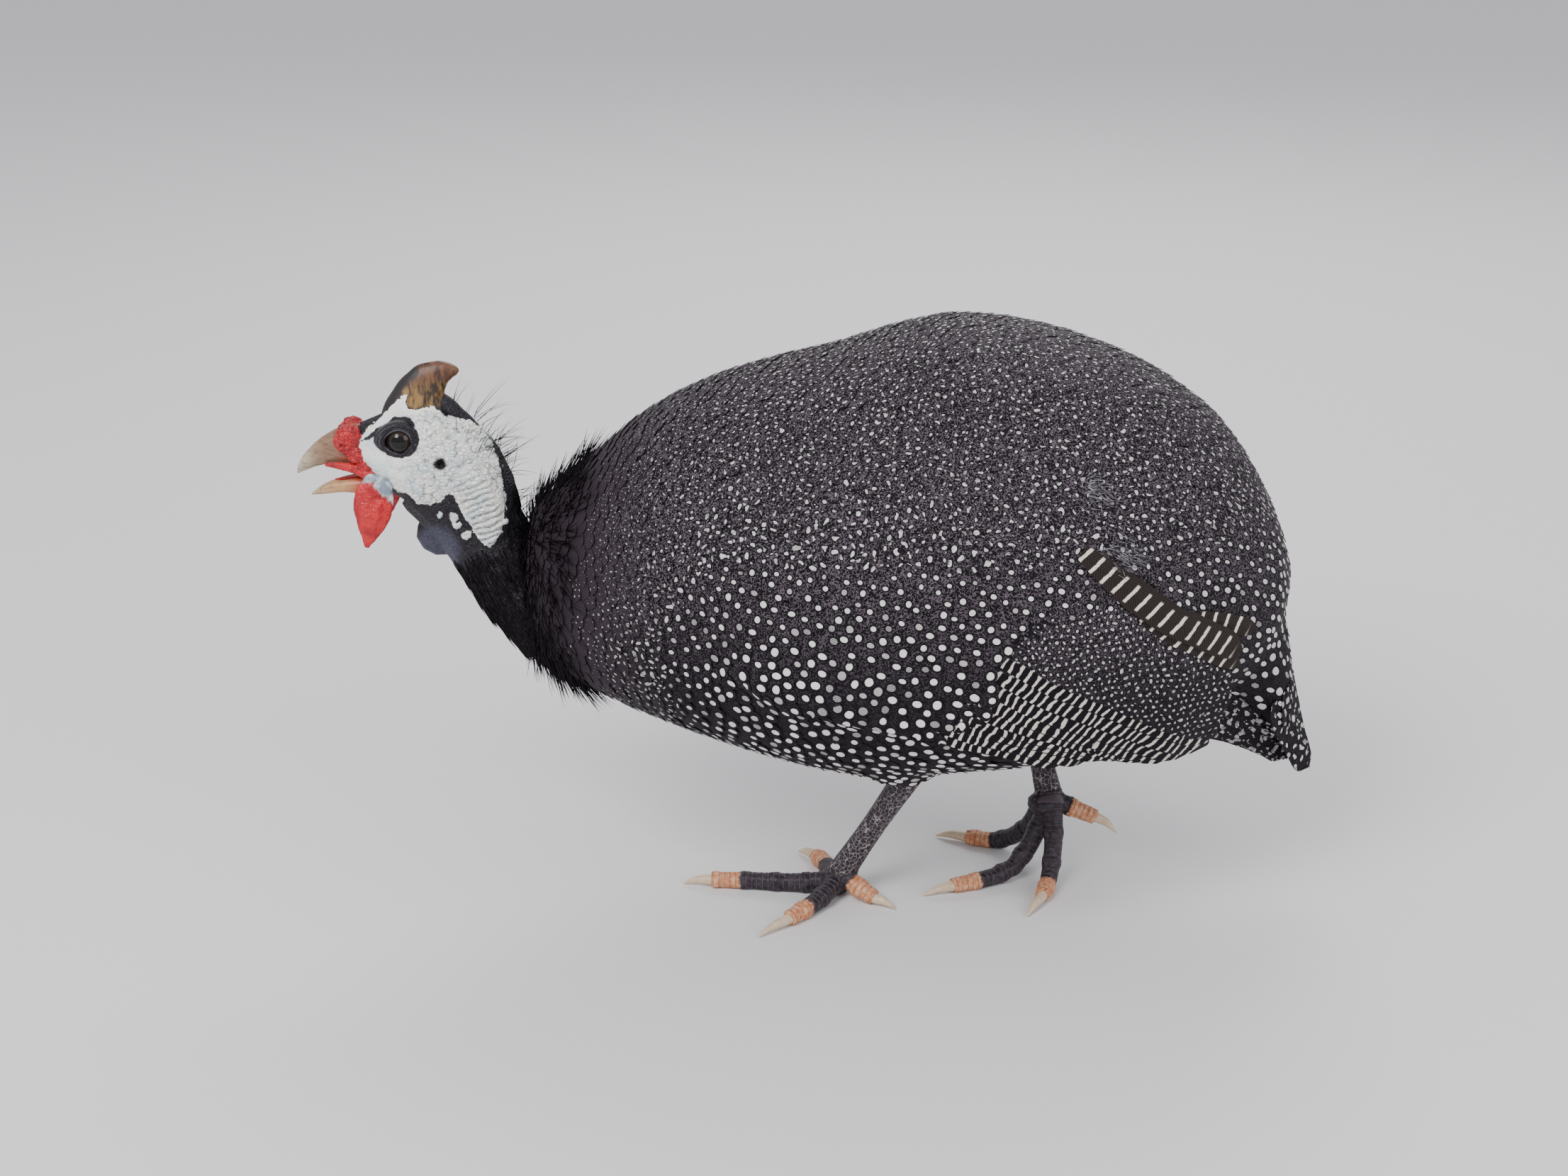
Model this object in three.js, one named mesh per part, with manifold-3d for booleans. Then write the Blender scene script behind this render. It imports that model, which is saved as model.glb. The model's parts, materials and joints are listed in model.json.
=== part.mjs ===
// A helmeted guinea fowl of the spotted "pearl" kind, standing low with its neck drawn in and its bill open.
// Life size, in millimetres. +Z is up and the bird faces -X, so its left side is towards -Y.
// It is built in side-view coordinates and shifted at the end, so that the origin is on the floor
// under the middle of the bird's bounding box.
import * as THREE from "three";
import { mergeVertices } from "three/addons/utils/BufferGeometryUtils.js";
import Module from "manifold-3d";

const wasm = await Module();
wasm.setup();

// Driving dimensions
const GAP = 0.3; // kept between two pieces that touch
const FLOOR = 0;
const EYE_RADIUS = 6.2;
const LID_RADIUS = 7.1; // middle of the ring of lid skin round the eye
const LID_THICKNESS = 1.2;
const EAR_RADIUS = 2.6;
const TOE_THICKNESS = 4.6; // half the width of a toe at its root
const CLAW_THICKNESS = 2.5; // half the width of a claw at its root
const SHANK_THICKNESS = 5.2; // half the width of the scaled leg
const WING_THICKNESS = 5;
const WING_DROP = 18; // how much lower than the belly the wings' curve reaches
const BLADE_THICKNESS = 1.3; // half the thickness of a feather at its shaft
const BLADE_WIDTHS = [0.6, 1, 0.92, 0.3]; // shares of a feather's width from root to tip
const BLADE_DEPTHS = [1, 1, 0.8, 0.4]; // shares of its thickness
const UNEVEN = 4; // how far feather tips stray from their line
const TAIL_STEP = 0.045; // how much shorter each tail feather is than the one inside it
const PAD_SIZE = new THREE.Vector3(8.5, 7.5, 5.6); // half sizes of the cushion under the toes' roots
const LEFT = -1;
const RIGHT = 1;

// Colours of the construction's materials
const COLOURS = {
  plumage: 0x2e2b33,
  neck: 0x1c1720,
  skin: 0xe4e6e2,
  horn: 0x6b4a2c,
  bill: 0xb08a66,
  red: 0xc4252b,
  eye: 0x0a0808,
  leg: 0x4a474c,
  claw: 0xc9b191,
};

function material(colour, roughness = 0.7) {
  return new THREE.MeshStandardMaterial({ color: COLOURS[colour], roughness, metalness: 0 });
}

const at = (x, y, z) => new THREE.Vector3(x, y, z);

// Joining and cutting

function solid(geometry) {
  const bare = geometry.clone();
  bare.deleteAttribute("normal");
  bare.deleteAttribute("uv");
  const merged = mergeVertices(bare, 1e-3);
  return new wasm.Manifold(
    new wasm.Mesh({
      numProp: 3,
      vertProperties: merged.attributes.position.array,
      triVerts: new Uint32Array(merged.index.array),
    }),
  );
}

function joined(solids) {
  return solids.reduce((whole, piece) => whole.add(piece));
}

// The one piece of most volume, so that a cut leaves no loose scrap.
function largest(whole) {
  return whole.decompose().reduce((best, piece) => (piece.volume() > best.volume() ? piece : best));
}

function meshOf(name, whole, look) {
  const made = largest(whole).getMesh();
  const places = new Float32Array(made.numVert * 3);
  for (let i = 0; i < made.numVert; i++) {
    places.set(made.vertProperties.subarray(i * made.numProp, i * made.numProp + 3), i * 3);
  }
  const geometry = new THREE.BufferGeometry();
  geometry.setAttribute("position", new THREE.BufferAttribute(places, 3));
  geometry.setIndex(new THREE.BufferAttribute(made.triVerts, 1));
  geometry.computeVertexNormals();
  const mesh = new THREE.Mesh(geometry, look);
  mesh.name = name;
  return mesh;
}

// Shapes

// A value that follows the numbers in list smoothly, for share from 0 to 1.
function follow(list, share) {
  const line = new THREE.CatmullRomCurve3(
    list.map((value, i) => at(i, value, 0)),
    false,
    "catmullrom",
    0.5,
  );
  return line.getPoint(share).y;
}

// A closed body along a path. Each section is { at, side, up, down }: half sizes across the path. A sphere's
// rings are laid on the sections, so both ends close. across is the direction that side is measured along.
function loft(sections, { around = 16, rings = 10, grow = 0, across = at(0, 1, 0), power = 2, along } = {}) {
  const path = new THREE.CatmullRomCurve3(sections.map((section) => section.at));
  const size = (key, share) => follow(sections.map((section) => section[key] ?? section.up), share);
  const ball = new THREE.SphereGeometry(1, around, rings + 2);
  const place = ball.attributes.position;
  const rows = rings + 3;
  for (let row = 0; row < rows; row++) {
    const share = Math.min(1, Math.max(0, (row - 1) / rings));
    const tangent = along ?? path.getTangent(share);
    const side = across.clone().addScaledVector(tangent, -across.dot(tangent)).normalize();
    const up = new THREE.Vector3().crossVectors(tangent, side).normalize();
    const end = row === 0 || row === rows - 1;
    const reach = share === 0 ? -grow : share === 1 ? grow : 0;
    const centre = path.getPoint(share).addScaledVector(tangent, reach);
    for (let column = 0; column <= around; column++) {
      const angle = (column / around) * Math.PI * 2;
      const bulge = (value) => Math.sign(value) * Math.abs(value) ** (2 / power);
      const wide = end ? 0 : bulge(Math.cos(angle)) * (size("side", share) + grow);
      const high = bulge(Math.sin(angle));
      const tall = end ? 0 : high * ((high > 0 ? size("up", share) : size("down", share)) + grow);
      const point = centre.clone().addScaledVector(side, wide).addScaledVector(up, tall);
      place.setXYZ(row * (around + 1) + column, point.x, point.y, point.z);
    }
  }
  return outward(solid(ball));
}

// A loft whose frame turns the other way comes out inside out, and is turned round here.
function outward(whole) {
  if (whole.volume() > 0) return whole;
  const made = whole.getMesh();
  const turned = new Uint32Array(made.triVerts);
  for (let i = 0; i < turned.length; i += 3) {
    [turned[i + 1], turned[i + 2]] = [turned[i + 2], turned[i + 1]];
  }
  return new wasm.Manifold(new wasm.Mesh({ numProp: 3, vertProperties: made.vertProperties, triVerts: turned }));
}

function ball(centre, radii, { around = 16, rings = 10, turn = 0, grow = 0 } = {}) {
  const geometry = new THREE.SphereGeometry(1, around, rings);
  geometry.scale(radii.x + grow, radii.y + grow, radii.z + grow);
  geometry.rotateY(turn);
  geometry.translate(centre.x, centre.y, centre.z);
  return solid(geometry);
}

function block(low, high) {
  const size = high.clone().sub(low);
  const geometry = new THREE.BoxGeometry(size.x, size.y, size.z);
  geometry.translate((low.x + high.x) / 2, (low.y + high.y) / 2, (low.z + high.z) / 2);
  return solid(geometry);
}

const UNDERGROUND = block(at(-400, -300, -200), at(400, 300, FLOOR));

// Torso: upright slices from the breast to the rump
const TORSO = [
  { x: -119, top: 152, bottom: 148, half: 1 },
  { x: -112, top: 180, bottom: 116, half: 26 },
  { x: -92, top: 197, bottom: 102, half: 50 },
  { x: -60, top: 224, bottom: 88, half: 70 },
  { x: -20, top: 242, bottom: 74, half: 84 },
  { x: 25, top: 253, bottom: 62, half: 92 },
  { x: 70, top: 266, bottom: 62, half: 94 },
  { x: 115, top: 261, bottom: 66, half: 90 },
  { x: 160, top: 244, bottom: 78, half: 78 },
  { x: 195, top: 217, bottom: 98, half: 58 },
  { x: 216, top: 181, bottom: 118, half: 36 },
  { x: 226, top: 152, bottom: 148, half: 1 },
];
const TORSO_WAIST = 0.47; // share of a slice's height at which it is widest
const TORSO_POWER = 2.25; // above 2, so slices are fuller than ellipses

// The torso grown outwards. drop lowers its underside, for the wings, which hang straighter than the belly.
function torso(grow, drop = 0) {
  const sections = TORSO.map((slice) => {
    const waist = slice.bottom + (slice.top - slice.bottom) * TORSO_WAIST;
    return { at: at(slice.x, 0, waist), side: slice.half, up: slice.top - waist, down: waist - slice.bottom + drop };
  });
  return loft(sections, { around: 30, rings: 20, grow, power: TORSO_POWER, along: at(1, 0, 0) });
}

// Half the width of the wings' inner surface at a place seen from the side
function halfWidth(x, z) {
  const next = TORSO.findIndex((slice) => slice.x > x);
  const share = (x - TORSO[next - 1].x) / (TORSO[next].x - TORSO[next - 1].x);
  const between = (key) => THREE.MathUtils.lerp(TORSO[next - 1][key], TORSO[next][key], share);
  const waist = THREE.MathUtils.lerp(between("bottom"), between("top"), TORSO_WAIST);
  const reach = z > waist ? between("top") - waist : waist - between("bottom") + WING_DROP;
  const height = Math.min(1, Math.abs(z - waist) / reach);
  return between("half") * (1 - height ** TORSO_POWER) ** (1 / TORSO_POWER);
}

// Neck and head: one body along a bent path from the bill's base to the breast, parted by a thin cut
const HEAD_TO_BREAST = [
  { at: at(-191, 0, 207), side: 6, up: 8 },
  { at: at(-182, 0, 207), side: 9, up: 12.5 },
  { at: at(-170, 0, 206), side: 13.5, up: 19 },
  { at: at(-154, 0, 203), side: 16.5, up: 24.5 },
  { at: at(-142, 0, 189), side: 16, up: 25 },
  { at: at(-132, 0, 168), side: 16, up: 19 },
  { at: at(-117, 0, 145), side: 22, up: 20 },
  { at: at(-92, 0, 132), side: 34, up: 30 },
  { at: at(-66, 0, 134), side: 38, up: 34 },
];
const NECK_CUT = at(-130.5, 0, 165); // where the head ends
const NECK_CUT_TURN = -0.5; // lean of that cut from level, in radians

function headAndNeck(grow) {
  return loft(HEAD_TO_BREAST, { around: 16, rings: 15, grow });
}

// Everything on the breast's side of the cut, moved along it by shift.
function breastSide(shift) {
  const geometry = new THREE.BoxGeometry(300, 200, 200);
  geometry.translate(0, 0, -100 - shift);
  geometry.rotateY(NECK_CUT_TURN);
  geometry.translate(NECK_CUT.x, NECK_CUT.y, NECK_CUT.z);
  return solid(geometry);
}

const EYE = at(-165, 9.4, 213.5);
const EAR = at(-147.5, 16.8, 204.5);
const NAPE = at(-131, 12, 185); // middle of the pad of skin beside the nape
const NAPE_SIZE = at(10, 5.5, 22); // half sizes of that pad
const NAPE_LEAN = -0.35; // in radians, its top towards the bill
const NAPE_FOLDS = [-14.5, -7.5, -0.5, 6.5]; // places of its folds along it
const NAPE_FOLD_THICKNESS = 2.4;
const sided = (point, side) => at(point.x, point.y * side, point.z);

function eye(side, grow = 0) {
  return ball(sided(EYE, side), at(EYE_RADIUS, EYE_RADIUS, EYE_RADIUS), { around: 12, rings: 8, grow });
}

// Ring of lid skin round the eye
function lids(side) {
  const ring = new THREE.TorusGeometry(LID_RADIUS, LID_THICKNESS, 5, 16);
  ring.rotateX(Math.PI / 2);
  ring.translate(EYE.x, side * (EYE.y + 3.9), EYE.z);
  return solid(ring);
}

function earCup(side) {
  return ball(sided(EAR, side), at(EAR_RADIUS, EAR_RADIUS * 1.4, EAR_RADIUS), { around: 9, rings: 6 });
}

// White pad of skin on the side of the nape, with folds across it
function napeLobe(side) {
  const lean = at(Math.sin(NAPE_LEAN), 0, Math.cos(NAPE_LEAN));
  const folds = NAPE_FOLDS.map((along) => {
    const width = Math.sqrt(1 - (along / NAPE_SIZE.z) ** 2);
    const size = at((NAPE_SIZE.x - 0.4) * width, (NAPE_SIZE.y + 1.1) * width, NAPE_FOLD_THICKNESS);
    return ball(sided(NAPE, side).addScaledVector(lean, along), size, { around: 7, rings: 4, turn: NAPE_LEAN });
  });
  return joined([ball(sided(NAPE, side), NAPE_SIZE, { around: 10, rings: 8, turn: NAPE_LEAN }), ...folds]);
}

function throatFold() {
  return ball(at(-152, 0, 167), at(10.5, 5, 9.5), { around: 10, rings: 7, turn: 0.5 });
}

// Casque: a horn on the crown that leans back
function casque(grow = 0) {
  return loft(
    [
      { at: at(-160, 0, 220.6), side: 6.6, up: 15.5 },
      { at: at(-158.6, 0, 226), side: 6.2, up: 13.6 },
      { at: at(-155.6, 0, 234.4), side: 5, up: 9.6 },
      { at: at(-150, 0, 240), side: 4.2, up: 6.2 },
      { at: at(-143.5, 0, 242), side: 2.6, up: 3.4 },
      { at: at(-140.5, 0, 241.5), side: 0.8, up: 0.8 },
    ],
    { around: 12, rings: 8, grow },
  );
}

function billUpper(grow = 0) {
  return loft(
    [
      { at: at(-180, 0, 207), side: 7.6, up: 10.5 },
      { at: at(-188, 0, 208), side: 6.8, up: 9.6 },
      { at: at(-197, 0, 206.5), side: 4.9, up: 6.4 },
      { at: at(-205, 0, 202.5), side: 3, up: 4 },
      { at: at(-210, 0, 198.4), side: 1.6, up: 2 },
      { at: at(-212, 0, 195.8), side: 0.4, up: 0.5 },
    ],
    { around: 14, rings: 9, grow },
  );
}

function billLower(grow = 0) {
  const jaw = loft(
    [
      { at: at(-176, 0, 190), side: 7.2, up: 6.4 },
      { at: at(-184, 0, 190.6), side: 6.4, up: 5.2 },
      { at: at(-193, 0, 190.2), side: 5, up: 3.8 },
      { at: at(-201, 0, 188.2), side: 3, up: 2.3 },
      { at: at(-206.6, 0, 186), side: 0.5, up: 0.5 },
    ],
    { around: 14, rings: 8, grow },
  );
  const trough = ball(at(-190, 0, 195.2), at(11, 3.8, 4), { around: 8, rings: 6, turn: -0.12 });
  return jaw.subtract(trough);
}

function tongue() {
  return loft(
    [
      { at: at(-180.5, 0, 193.2), side: 2.6, up: 1.4 },
      { at: at(-188, 0, 193.6), side: 2.1, up: 1.1 },
      { at: at(-195.5, 0, 193.2), side: 0.5, up: 0.5 },
    ],
    { around: 8, rings: 5 },
  );
}

// Opening between the bills, cut from the head so that the gape shows
function gape() {
  return loft(
    [
      { at: at(-196, 0, 197.6), side: 9, up: 3.4 },
      { at: at(-186, 0, 197.6), side: 8.6, up: 2.6 },
      { at: at(-178, 0, 196.4), side: 7, up: 1.2 },
    ],
    { around: 10, rings: 4 },
  );
}

// Red folded skin over the nostril, with the nostril's slit
function cere(side) {
  const bulb = ball(at(-188, side * 6.2, 212.5), at(6.4, 3.4, 7), { around: 10, rings: 7, turn: 0.4 });
  const brow = ball(at(-184.5, side * 7.4, 206), at(4.6, 2.8, 4.6), { around: 8, rings: 6 });
  const corner = ball(at(-181.5, side * 8.2, 200.4), at(3.6, 2.4, 4), { around: 8, rings: 6, turn: 0.5 });
  const nostril = ball(at(-190, side * 9.6, 210.4), at(3, 1.6, 1.1), { around: 8, rings: 5, turn: -0.35 });
  return joined([bulb, brow, corner]).subtract(nostril);
}

// Wattle: a leaf of red skin that hangs from the corner of the mouth, with a swollen top and a fold down it
function wattle(side) {
  const top = ball(at(-174.5, side * 13.4, 192), at(5.4, 2.6, 4.4), { around: 8, rings: 6, turn: -0.5 });
  const fold = ball(at(-176.4, side * 15.6, 181), at(2, 1.2, 8), { around: 6, rings: 5, turn: 0.3 });
  const leaf = loft(
    [
      { at: at(-175, side * 10.6, 197.5), side: 2, up: 5 },
      { at: at(-177, side * 12.8, 189), side: 2.2, up: 8.6 },
      { at: at(-178.4, side * 14, 180), side: 2, up: 7.8 },
      { at: at(-180, side * 14.4, 172), side: 1.5, up: 4.2 },
      { at: at(-181.4, side * 14.4, 166.2), side: 0.7, up: 0.8 },
    ],
    { around: 12, rings: 8 },
  );
  return joined([leaf, top, fold]);
}

// Feathers: each is a thin blade with a ridge along its shaft

const seeded = (() => {
  let state = 7;
  return () => {
    state = (state * 16807) % 2147483647;
    return state / 2147483647;
  };
})();

// path is the shaft from root to tip, out the way the feather faces, and half half its width.
function blade(path, out, half, tilt) {
  const run = path.at(-1).clone().sub(path[0]).normalize();
  const across = new THREE.Vector3().crossVectors(out, run).normalize();
  if (across.z < 0 || (Math.abs(across.z) < 0.3 && across.y < 0)) across.negate();
  across.addScaledVector(out, -tilt).normalize();
  const sections = path.map((point, i) => ({
    at: point,
    side: half * BLADE_WIDTHS[i],
    up: BLADE_THICKNESS * BLADE_DEPTHS[i],
  }));
  return loft(sections, { around: 4, rings: 3, across });
}

// Wings: a curved slab over the torso's side, drawn by its outline, with tiers of feathers rooted in it

function wingOutline() {
  const shape = new THREE.Shape();
  shape.moveTo(-40, 178);
  shape.splineThru([
    new THREE.Vector2(-8, 208),
    new THREE.Vector2(50, 224),
    new THREE.Vector2(112, 208),
    new THREE.Vector2(156, 170),
    new THREE.Vector2(174, 128),
    new THREE.Vector2(171, 106),
  ]);
  shape.splineThru([
    new THREE.Vector2(145, 106),
    new THREE.Vector2(100, 109),
    new THREE.Vector2(50, 112),
    new THREE.Vector2(0, 132),
    new THREE.Vector2(-40, 178),
  ]);
  return shape;
}

// A place lift millimetres above the wing's inner surface, and the way out of it there
function onWing(side, x, z, lift) {
  const step = 2;
  const slopeX = (halfWidth(x + step, z) - halfWidth(x - step, z)) / (2 * step);
  const slopeZ = (halfWidth(x, z + step) - halfWidth(x, z - step)) / (2 * step);
  const out = at(-slopeX, 1, -slopeZ).normalize();
  const point = at(x, halfWidth(x, z), z).addScaledVector(out, lift);
  return { point: sided(point, side), out: sided(out, side) };
}

// One feather of a wing. root and tip are places seen from the side.
function wingFeather(side, root, tip, { half, rootLift, tipLift, tilt = 0.14 }) {
  const places = [0, 0.36, 0.74, 1].map((share) => {
    const place = root.clone().lerp(tip, share);
    return onWing(side, place.x, place.y, THREE.MathUtils.lerp(rootLift, tipLift, share));
  });
  return blade(places.map((place) => place.point), places[1].out, half, tilt);
}

// Tiers from the hind edge forward: how many feathers, the lines their roots and tips lie on, and their lifts
const WING_TIERS = [
  {
    count: 10,
    roots: [[66, 117], [82, 132], [98, 152], [112, 172]],
    tips: [[122, 100], [150, 97], [176, 93.5], [184, 106], [184, 130]],
    shape: { half: 8, rootLift: 3, tipLift: 5.6 },
  },
  {
    count: 8,
    roots: [[22, 122], [42, 150], [66, 178], [92, 196]],
    tips: [[78, 105], [96, 132], [120, 162], [148, 184]],
    shape: { half: 11.5, rootLift: 3, tipLift: 6.6 },
  },
  {
    count: 8,
    roots: [[-22, 140], [0, 164], [26, 188], [58, 206]],
    tips: [[28, 111], [48, 140], [76, 170], [108, 198]],
    shape: { half: 12, rootLift: 3, tipLift: 6.8 },
  },
];

// Barred feathers that stick out over the left wing
const LOOSE_FEATHERS = [
  { root: [128, 184], tip: [185, 141], shape: { half: 8, rootLift: 4, tipLift: 10, tilt: 0 } },
  { root: [150, 158], tip: [188, 132], shape: { half: 5, rootLift: 4, tipLift: 8, tilt: 0 } },
  { root: [166, 160], tip: [194, 152], shape: { half: 4, rootLift: 4, tipLift: 8, tilt: 0.3 } },
];

const flat = ([x, z]) => new THREE.Vector2(x, z);
const line = (places) => new THREE.SplineCurve(places.map(flat));

function wing(side) {
  const cutter = new THREE.ExtrudeGeometry(wingOutline(), { depth: 120, bevelEnabled: false, curveSegments: 3 });
  cutter.rotateX(Math.PI / 2);
  cutter.translate(0, side === RIGHT ? 140 : -20, 0);
  const slab = torso(WING_THICKNESS, WING_DROP).intersect(solid(cutter));
  const feathers = WING_TIERS.flatMap(({ count, roots, tips, shape }) => {
    const [rootLine, tipLine] = [line(roots), line(tips)];
    return Array.from({ length: count }, (_, i) => {
      const share = i / (count - 1);
      const tip = tipLine.getPoint(share);
      tip.x += (seeded() - 0.5) * UNEVEN;
      return wingFeather(side, rootLine.getPoint(share), tip, shape);
    });
  });
  const loose = side === LEFT ? LOOSE_FEATHERS : [];
  const extra = loose.map(({ root, tip, shape }) => wingFeather(side, flat(root), flat(tip), shape));
  return joined([slab, ...feathers, ...extra]).subtract(torso(GAP, WING_DROP));
}

// Tail: hangs from the rump and folds to a point, with its feathers over its back and coverts under it

const TAIL = [
  { at: at(172, 0, 160), side: 44, up: 34 },
  { at: at(190, 0, 135), side: 42, up: 33 },
  { at: at(206, 0, 110), side: 34, up: 24 },
  { at: at(220, 0, 86), side: 23, up: 13 },
  { at: at(229, 0, 70), side: 13, up: 6 },
  { at: at(233, 0, 62), side: 5, up: 2.5 },
];

// A place lift millimetres off the tail's back, or off its underside where face is -1
function onTail(share, lateral, lift, face) {
  const path = new THREE.CatmullRomCurve3(TAIL.map((section) => section.at));
  const tangent = path.getTangent(share);
  const up = at(-tangent.z, 0, tangent.x);
  const side = follow(TAIL.map((section) => section.side), share);
  const curve = Math.sqrt(Math.max(0, 1 - (lateral / side) ** 2));
  const height = follow(TAIL.map((section) => section.up), share) * curve + lift;
  return path.getPoint(share).add(at(0, lateral, 0)).addScaledVector(up, face * height);
}

// place counts the feathers out from the middle one, which is 0.
function tailFeather(place, { from, to, spread, half, face, beyond }) {
  const end = to - Math.abs(place) * TAIL_STEP;
  const path = [0, 0.36, 0.74, 1].map((share) => {
    const lateral = place * THREE.MathUtils.lerp(spread, spread * 0.6, share);
    return onTail(THREE.MathUtils.lerp(from, end, share), lateral, THREE.MathUtils.lerp(-2, 0.8, share), face);
  });
  const run = path[3].clone().sub(path[2]).normalize();
  path[3].addScaledVector(run, beyond);
  const out = at(face * 0.85, place * 0.12, face * 0.52).normalize();
  return blade(path, out, half, 0.1);
}

function tail() {
  const core = loft(TAIL, { around: 14, rings: 8 });
  const back = [-5, -4, -3, -2, -1, 0, 1, 2, 3, 4, 5].map((place) =>
    tailFeather(place, { from: 0.52, to: 1, spread: 5.4, half: 6, face: 1, beyond: 8 }),
  );
  const under = [-2, -1, 0, 1, 2].map((place) =>
    tailFeather(place, { from: 0.4, to: 0.86, spread: 6.5, half: 6, face: -1, beyond: 3 }),
  );
  return joined([core, ...back, ...under]).subtract(torso(GAP));
}

// Legs: feathered thigh, scaled shank, and a foot of four toes with claws
const LEGS = {
  left: {
    thigh: [
      { at: at(34, -44, 112), side: 30, up: 34 },
      { at: at(48, -36, 84), side: 22, up: 25 },
      { at: at(56, -29, 64), side: 11, up: 12 },
      { at: at(57, -28.5, 58), side: 7, up: 7.4 },
    ],
    ankle: at(61, -30, 74),
    joint: at(25, -18.5, 9.5),
    pad: at(22, -17, 5),
    toes: [
      { path: [at(25, -18, 7), at(8, -16, 4.3), at(-14, -13, 3.7), at(-33, -11, 3.2)], claw: at(-46, -10, 0.8) },
      { path: [at(24, -20, 7), at(14, -35, 4), at(2, -49, 3.2)], claw: at(-11, -61, 0.8) },
      { path: [at(23, -15, 7), at(20, 1, 4), at(15, 14, 3.2)], claw: at(7, 23, 0.8) },
      { path: [at(27, -19, 10), at(35, -25, 5.4), at(41, -29, 3.2)], claw: at(50, -35, 0.8) },
    ],
  },
  right: {
    thigh: [
      { at: at(92, 46, 112), side: 30, up: 32 },
      { at: at(104, 34, 86), side: 20, up: 22 },
      { at: at(115, 22, 66), side: 9, up: 10 },
      { at: at(117, 20, 60), side: 7, up: 7.4 },
    ],
    ankle: at(113, 24, 78),
    joint: at(123, 8, 35),
    pad: at(121, 6, 34),
    toes: [
      {
        path: [at(123, 7, 36), at(116, 3, 19), at(106, -4, 6), at(92, -11, 3.4), at(77, -17, 3.1)],
        claw: at(64, -22, 0.8),
      },
      { path: [at(124, 4, 35), at(124, -4, 17), at(121, -15, 4), at(117, -27, 3.1)], claw: at(109, -42, 0.8) },
      { path: [at(122, 11, 35), at(114, 19, 15), at(101, 28, 4), at(87, 34, 3.1)], claw: at(73, 40, 0.8) },
      { path: [at(124, 9, 35), at(135, 8, 30), at(144, 7, 26.5)], claw: at(154, 6, 19) },
    ],
  },
};

function shank(leg, grow = 0) {
  const lean = leg.ankle.clone().sub(leg.joint);
  const middle = leg.joint.clone().addScaledVector(lean, 0.45);
  return loft(
    [
      { at: leg.joint, side: SHANK_THICKNESS * 0.9, up: SHANK_THICKNESS * 1.25 },
      { at: middle, side: SHANK_THICKNESS * 0.85, up: SHANK_THICKNESS * 1.05 },
      { at: leg.ankle, side: SHANK_THICKNESS * 1.15, up: SHANK_THICKNESS * 1.35 },
    ],
    { around: 12, rings: 6, grow },
  );
}

function toe(path) {
  const sections = path.map((point, i) => {
    const thin = 1 - (0.22 * i) / (path.length - 1);
    return { at: point, side: TOE_THICKNESS * thin, up: TOE_THICKNESS * thin };
  });
  const across = at(0, 0, 1).cross(path.at(-1).clone().sub(path[0])).normalize();
  return loft(sections, { around: 8, rings: 6, across });
}

function claw(path, tip, grow = 0) {
  const root = path.at(-1);
  const back = path.at(-1).clone().lerp(path.at(-2), 0.25);
  const middle = root.clone().lerp(tip, 0.55);
  middle.z = Math.max(middle.z, root.z * 0.75);
  const across = at(0, 0, 1).cross(tip.clone().sub(root)).normalize();
  return loft(
    [
      { at: back, side: CLAW_THICKNESS, up: CLAW_THICKNESS },
      { at: root, side: CLAW_THICKNESS, up: CLAW_THICKNESS },
      { at: middle, side: CLAW_THICKNESS * 0.65, up: CLAW_THICKNESS * 0.7 },
      { at: tip, side: 0.5, up: 0.5 },
    ],
    { around: 6, rings: 5, across, grow },
  );
}

// The cushion under the toes' roots
function footPad(leg) {
  return ball(leg.pad, PAD_SIZE, { around: 12, rings: 8 });
}

// Assembly

const bird = new THREE.Group();

function add(name, whole, colour, roughness) {
  bird.add(meshOf(name, whole, material(colour, roughness)));
}

const bodyClearance = torso(GAP);
add("torso", torso(0), "plumage", 0.8);

const casqueClearance = casque(GAP);
const billClearance = billUpper(GAP).add(billLower(GAP));
const faceSkin = [LEFT, RIGHT].map((side) => joined([lids(side), napeLobe(side)]));
const head = joined([headAndNeck(0), throatFold(), ...faceSkin])
  .subtract(breastSide(0))
  .subtract(casqueClearance)
  .subtract(billClearance)
  .subtract(gape())
  .subtract(eye(LEFT, GAP))
  .subtract(eye(RIGHT, GAP))
  .subtract(earCup(LEFT))
  .subtract(earCup(RIGHT))
  .subtract(bodyClearance);
add("head", head, "skin", 0.6);
add("neck", headAndNeck(0).intersect(breastSide(GAP)).subtract(bodyClearance), "neck", 0.9);
add("casque", casque(), "horn", 0.5);
add("bill_upper", billUpper(), "bill", 0.4);
add("bill_lower", billLower().subtract(billUpper(GAP)), "bill", 0.4);
add("tongue", tongue().subtract(billLower(GAP)).subtract(head), "red", 0.4);

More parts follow.
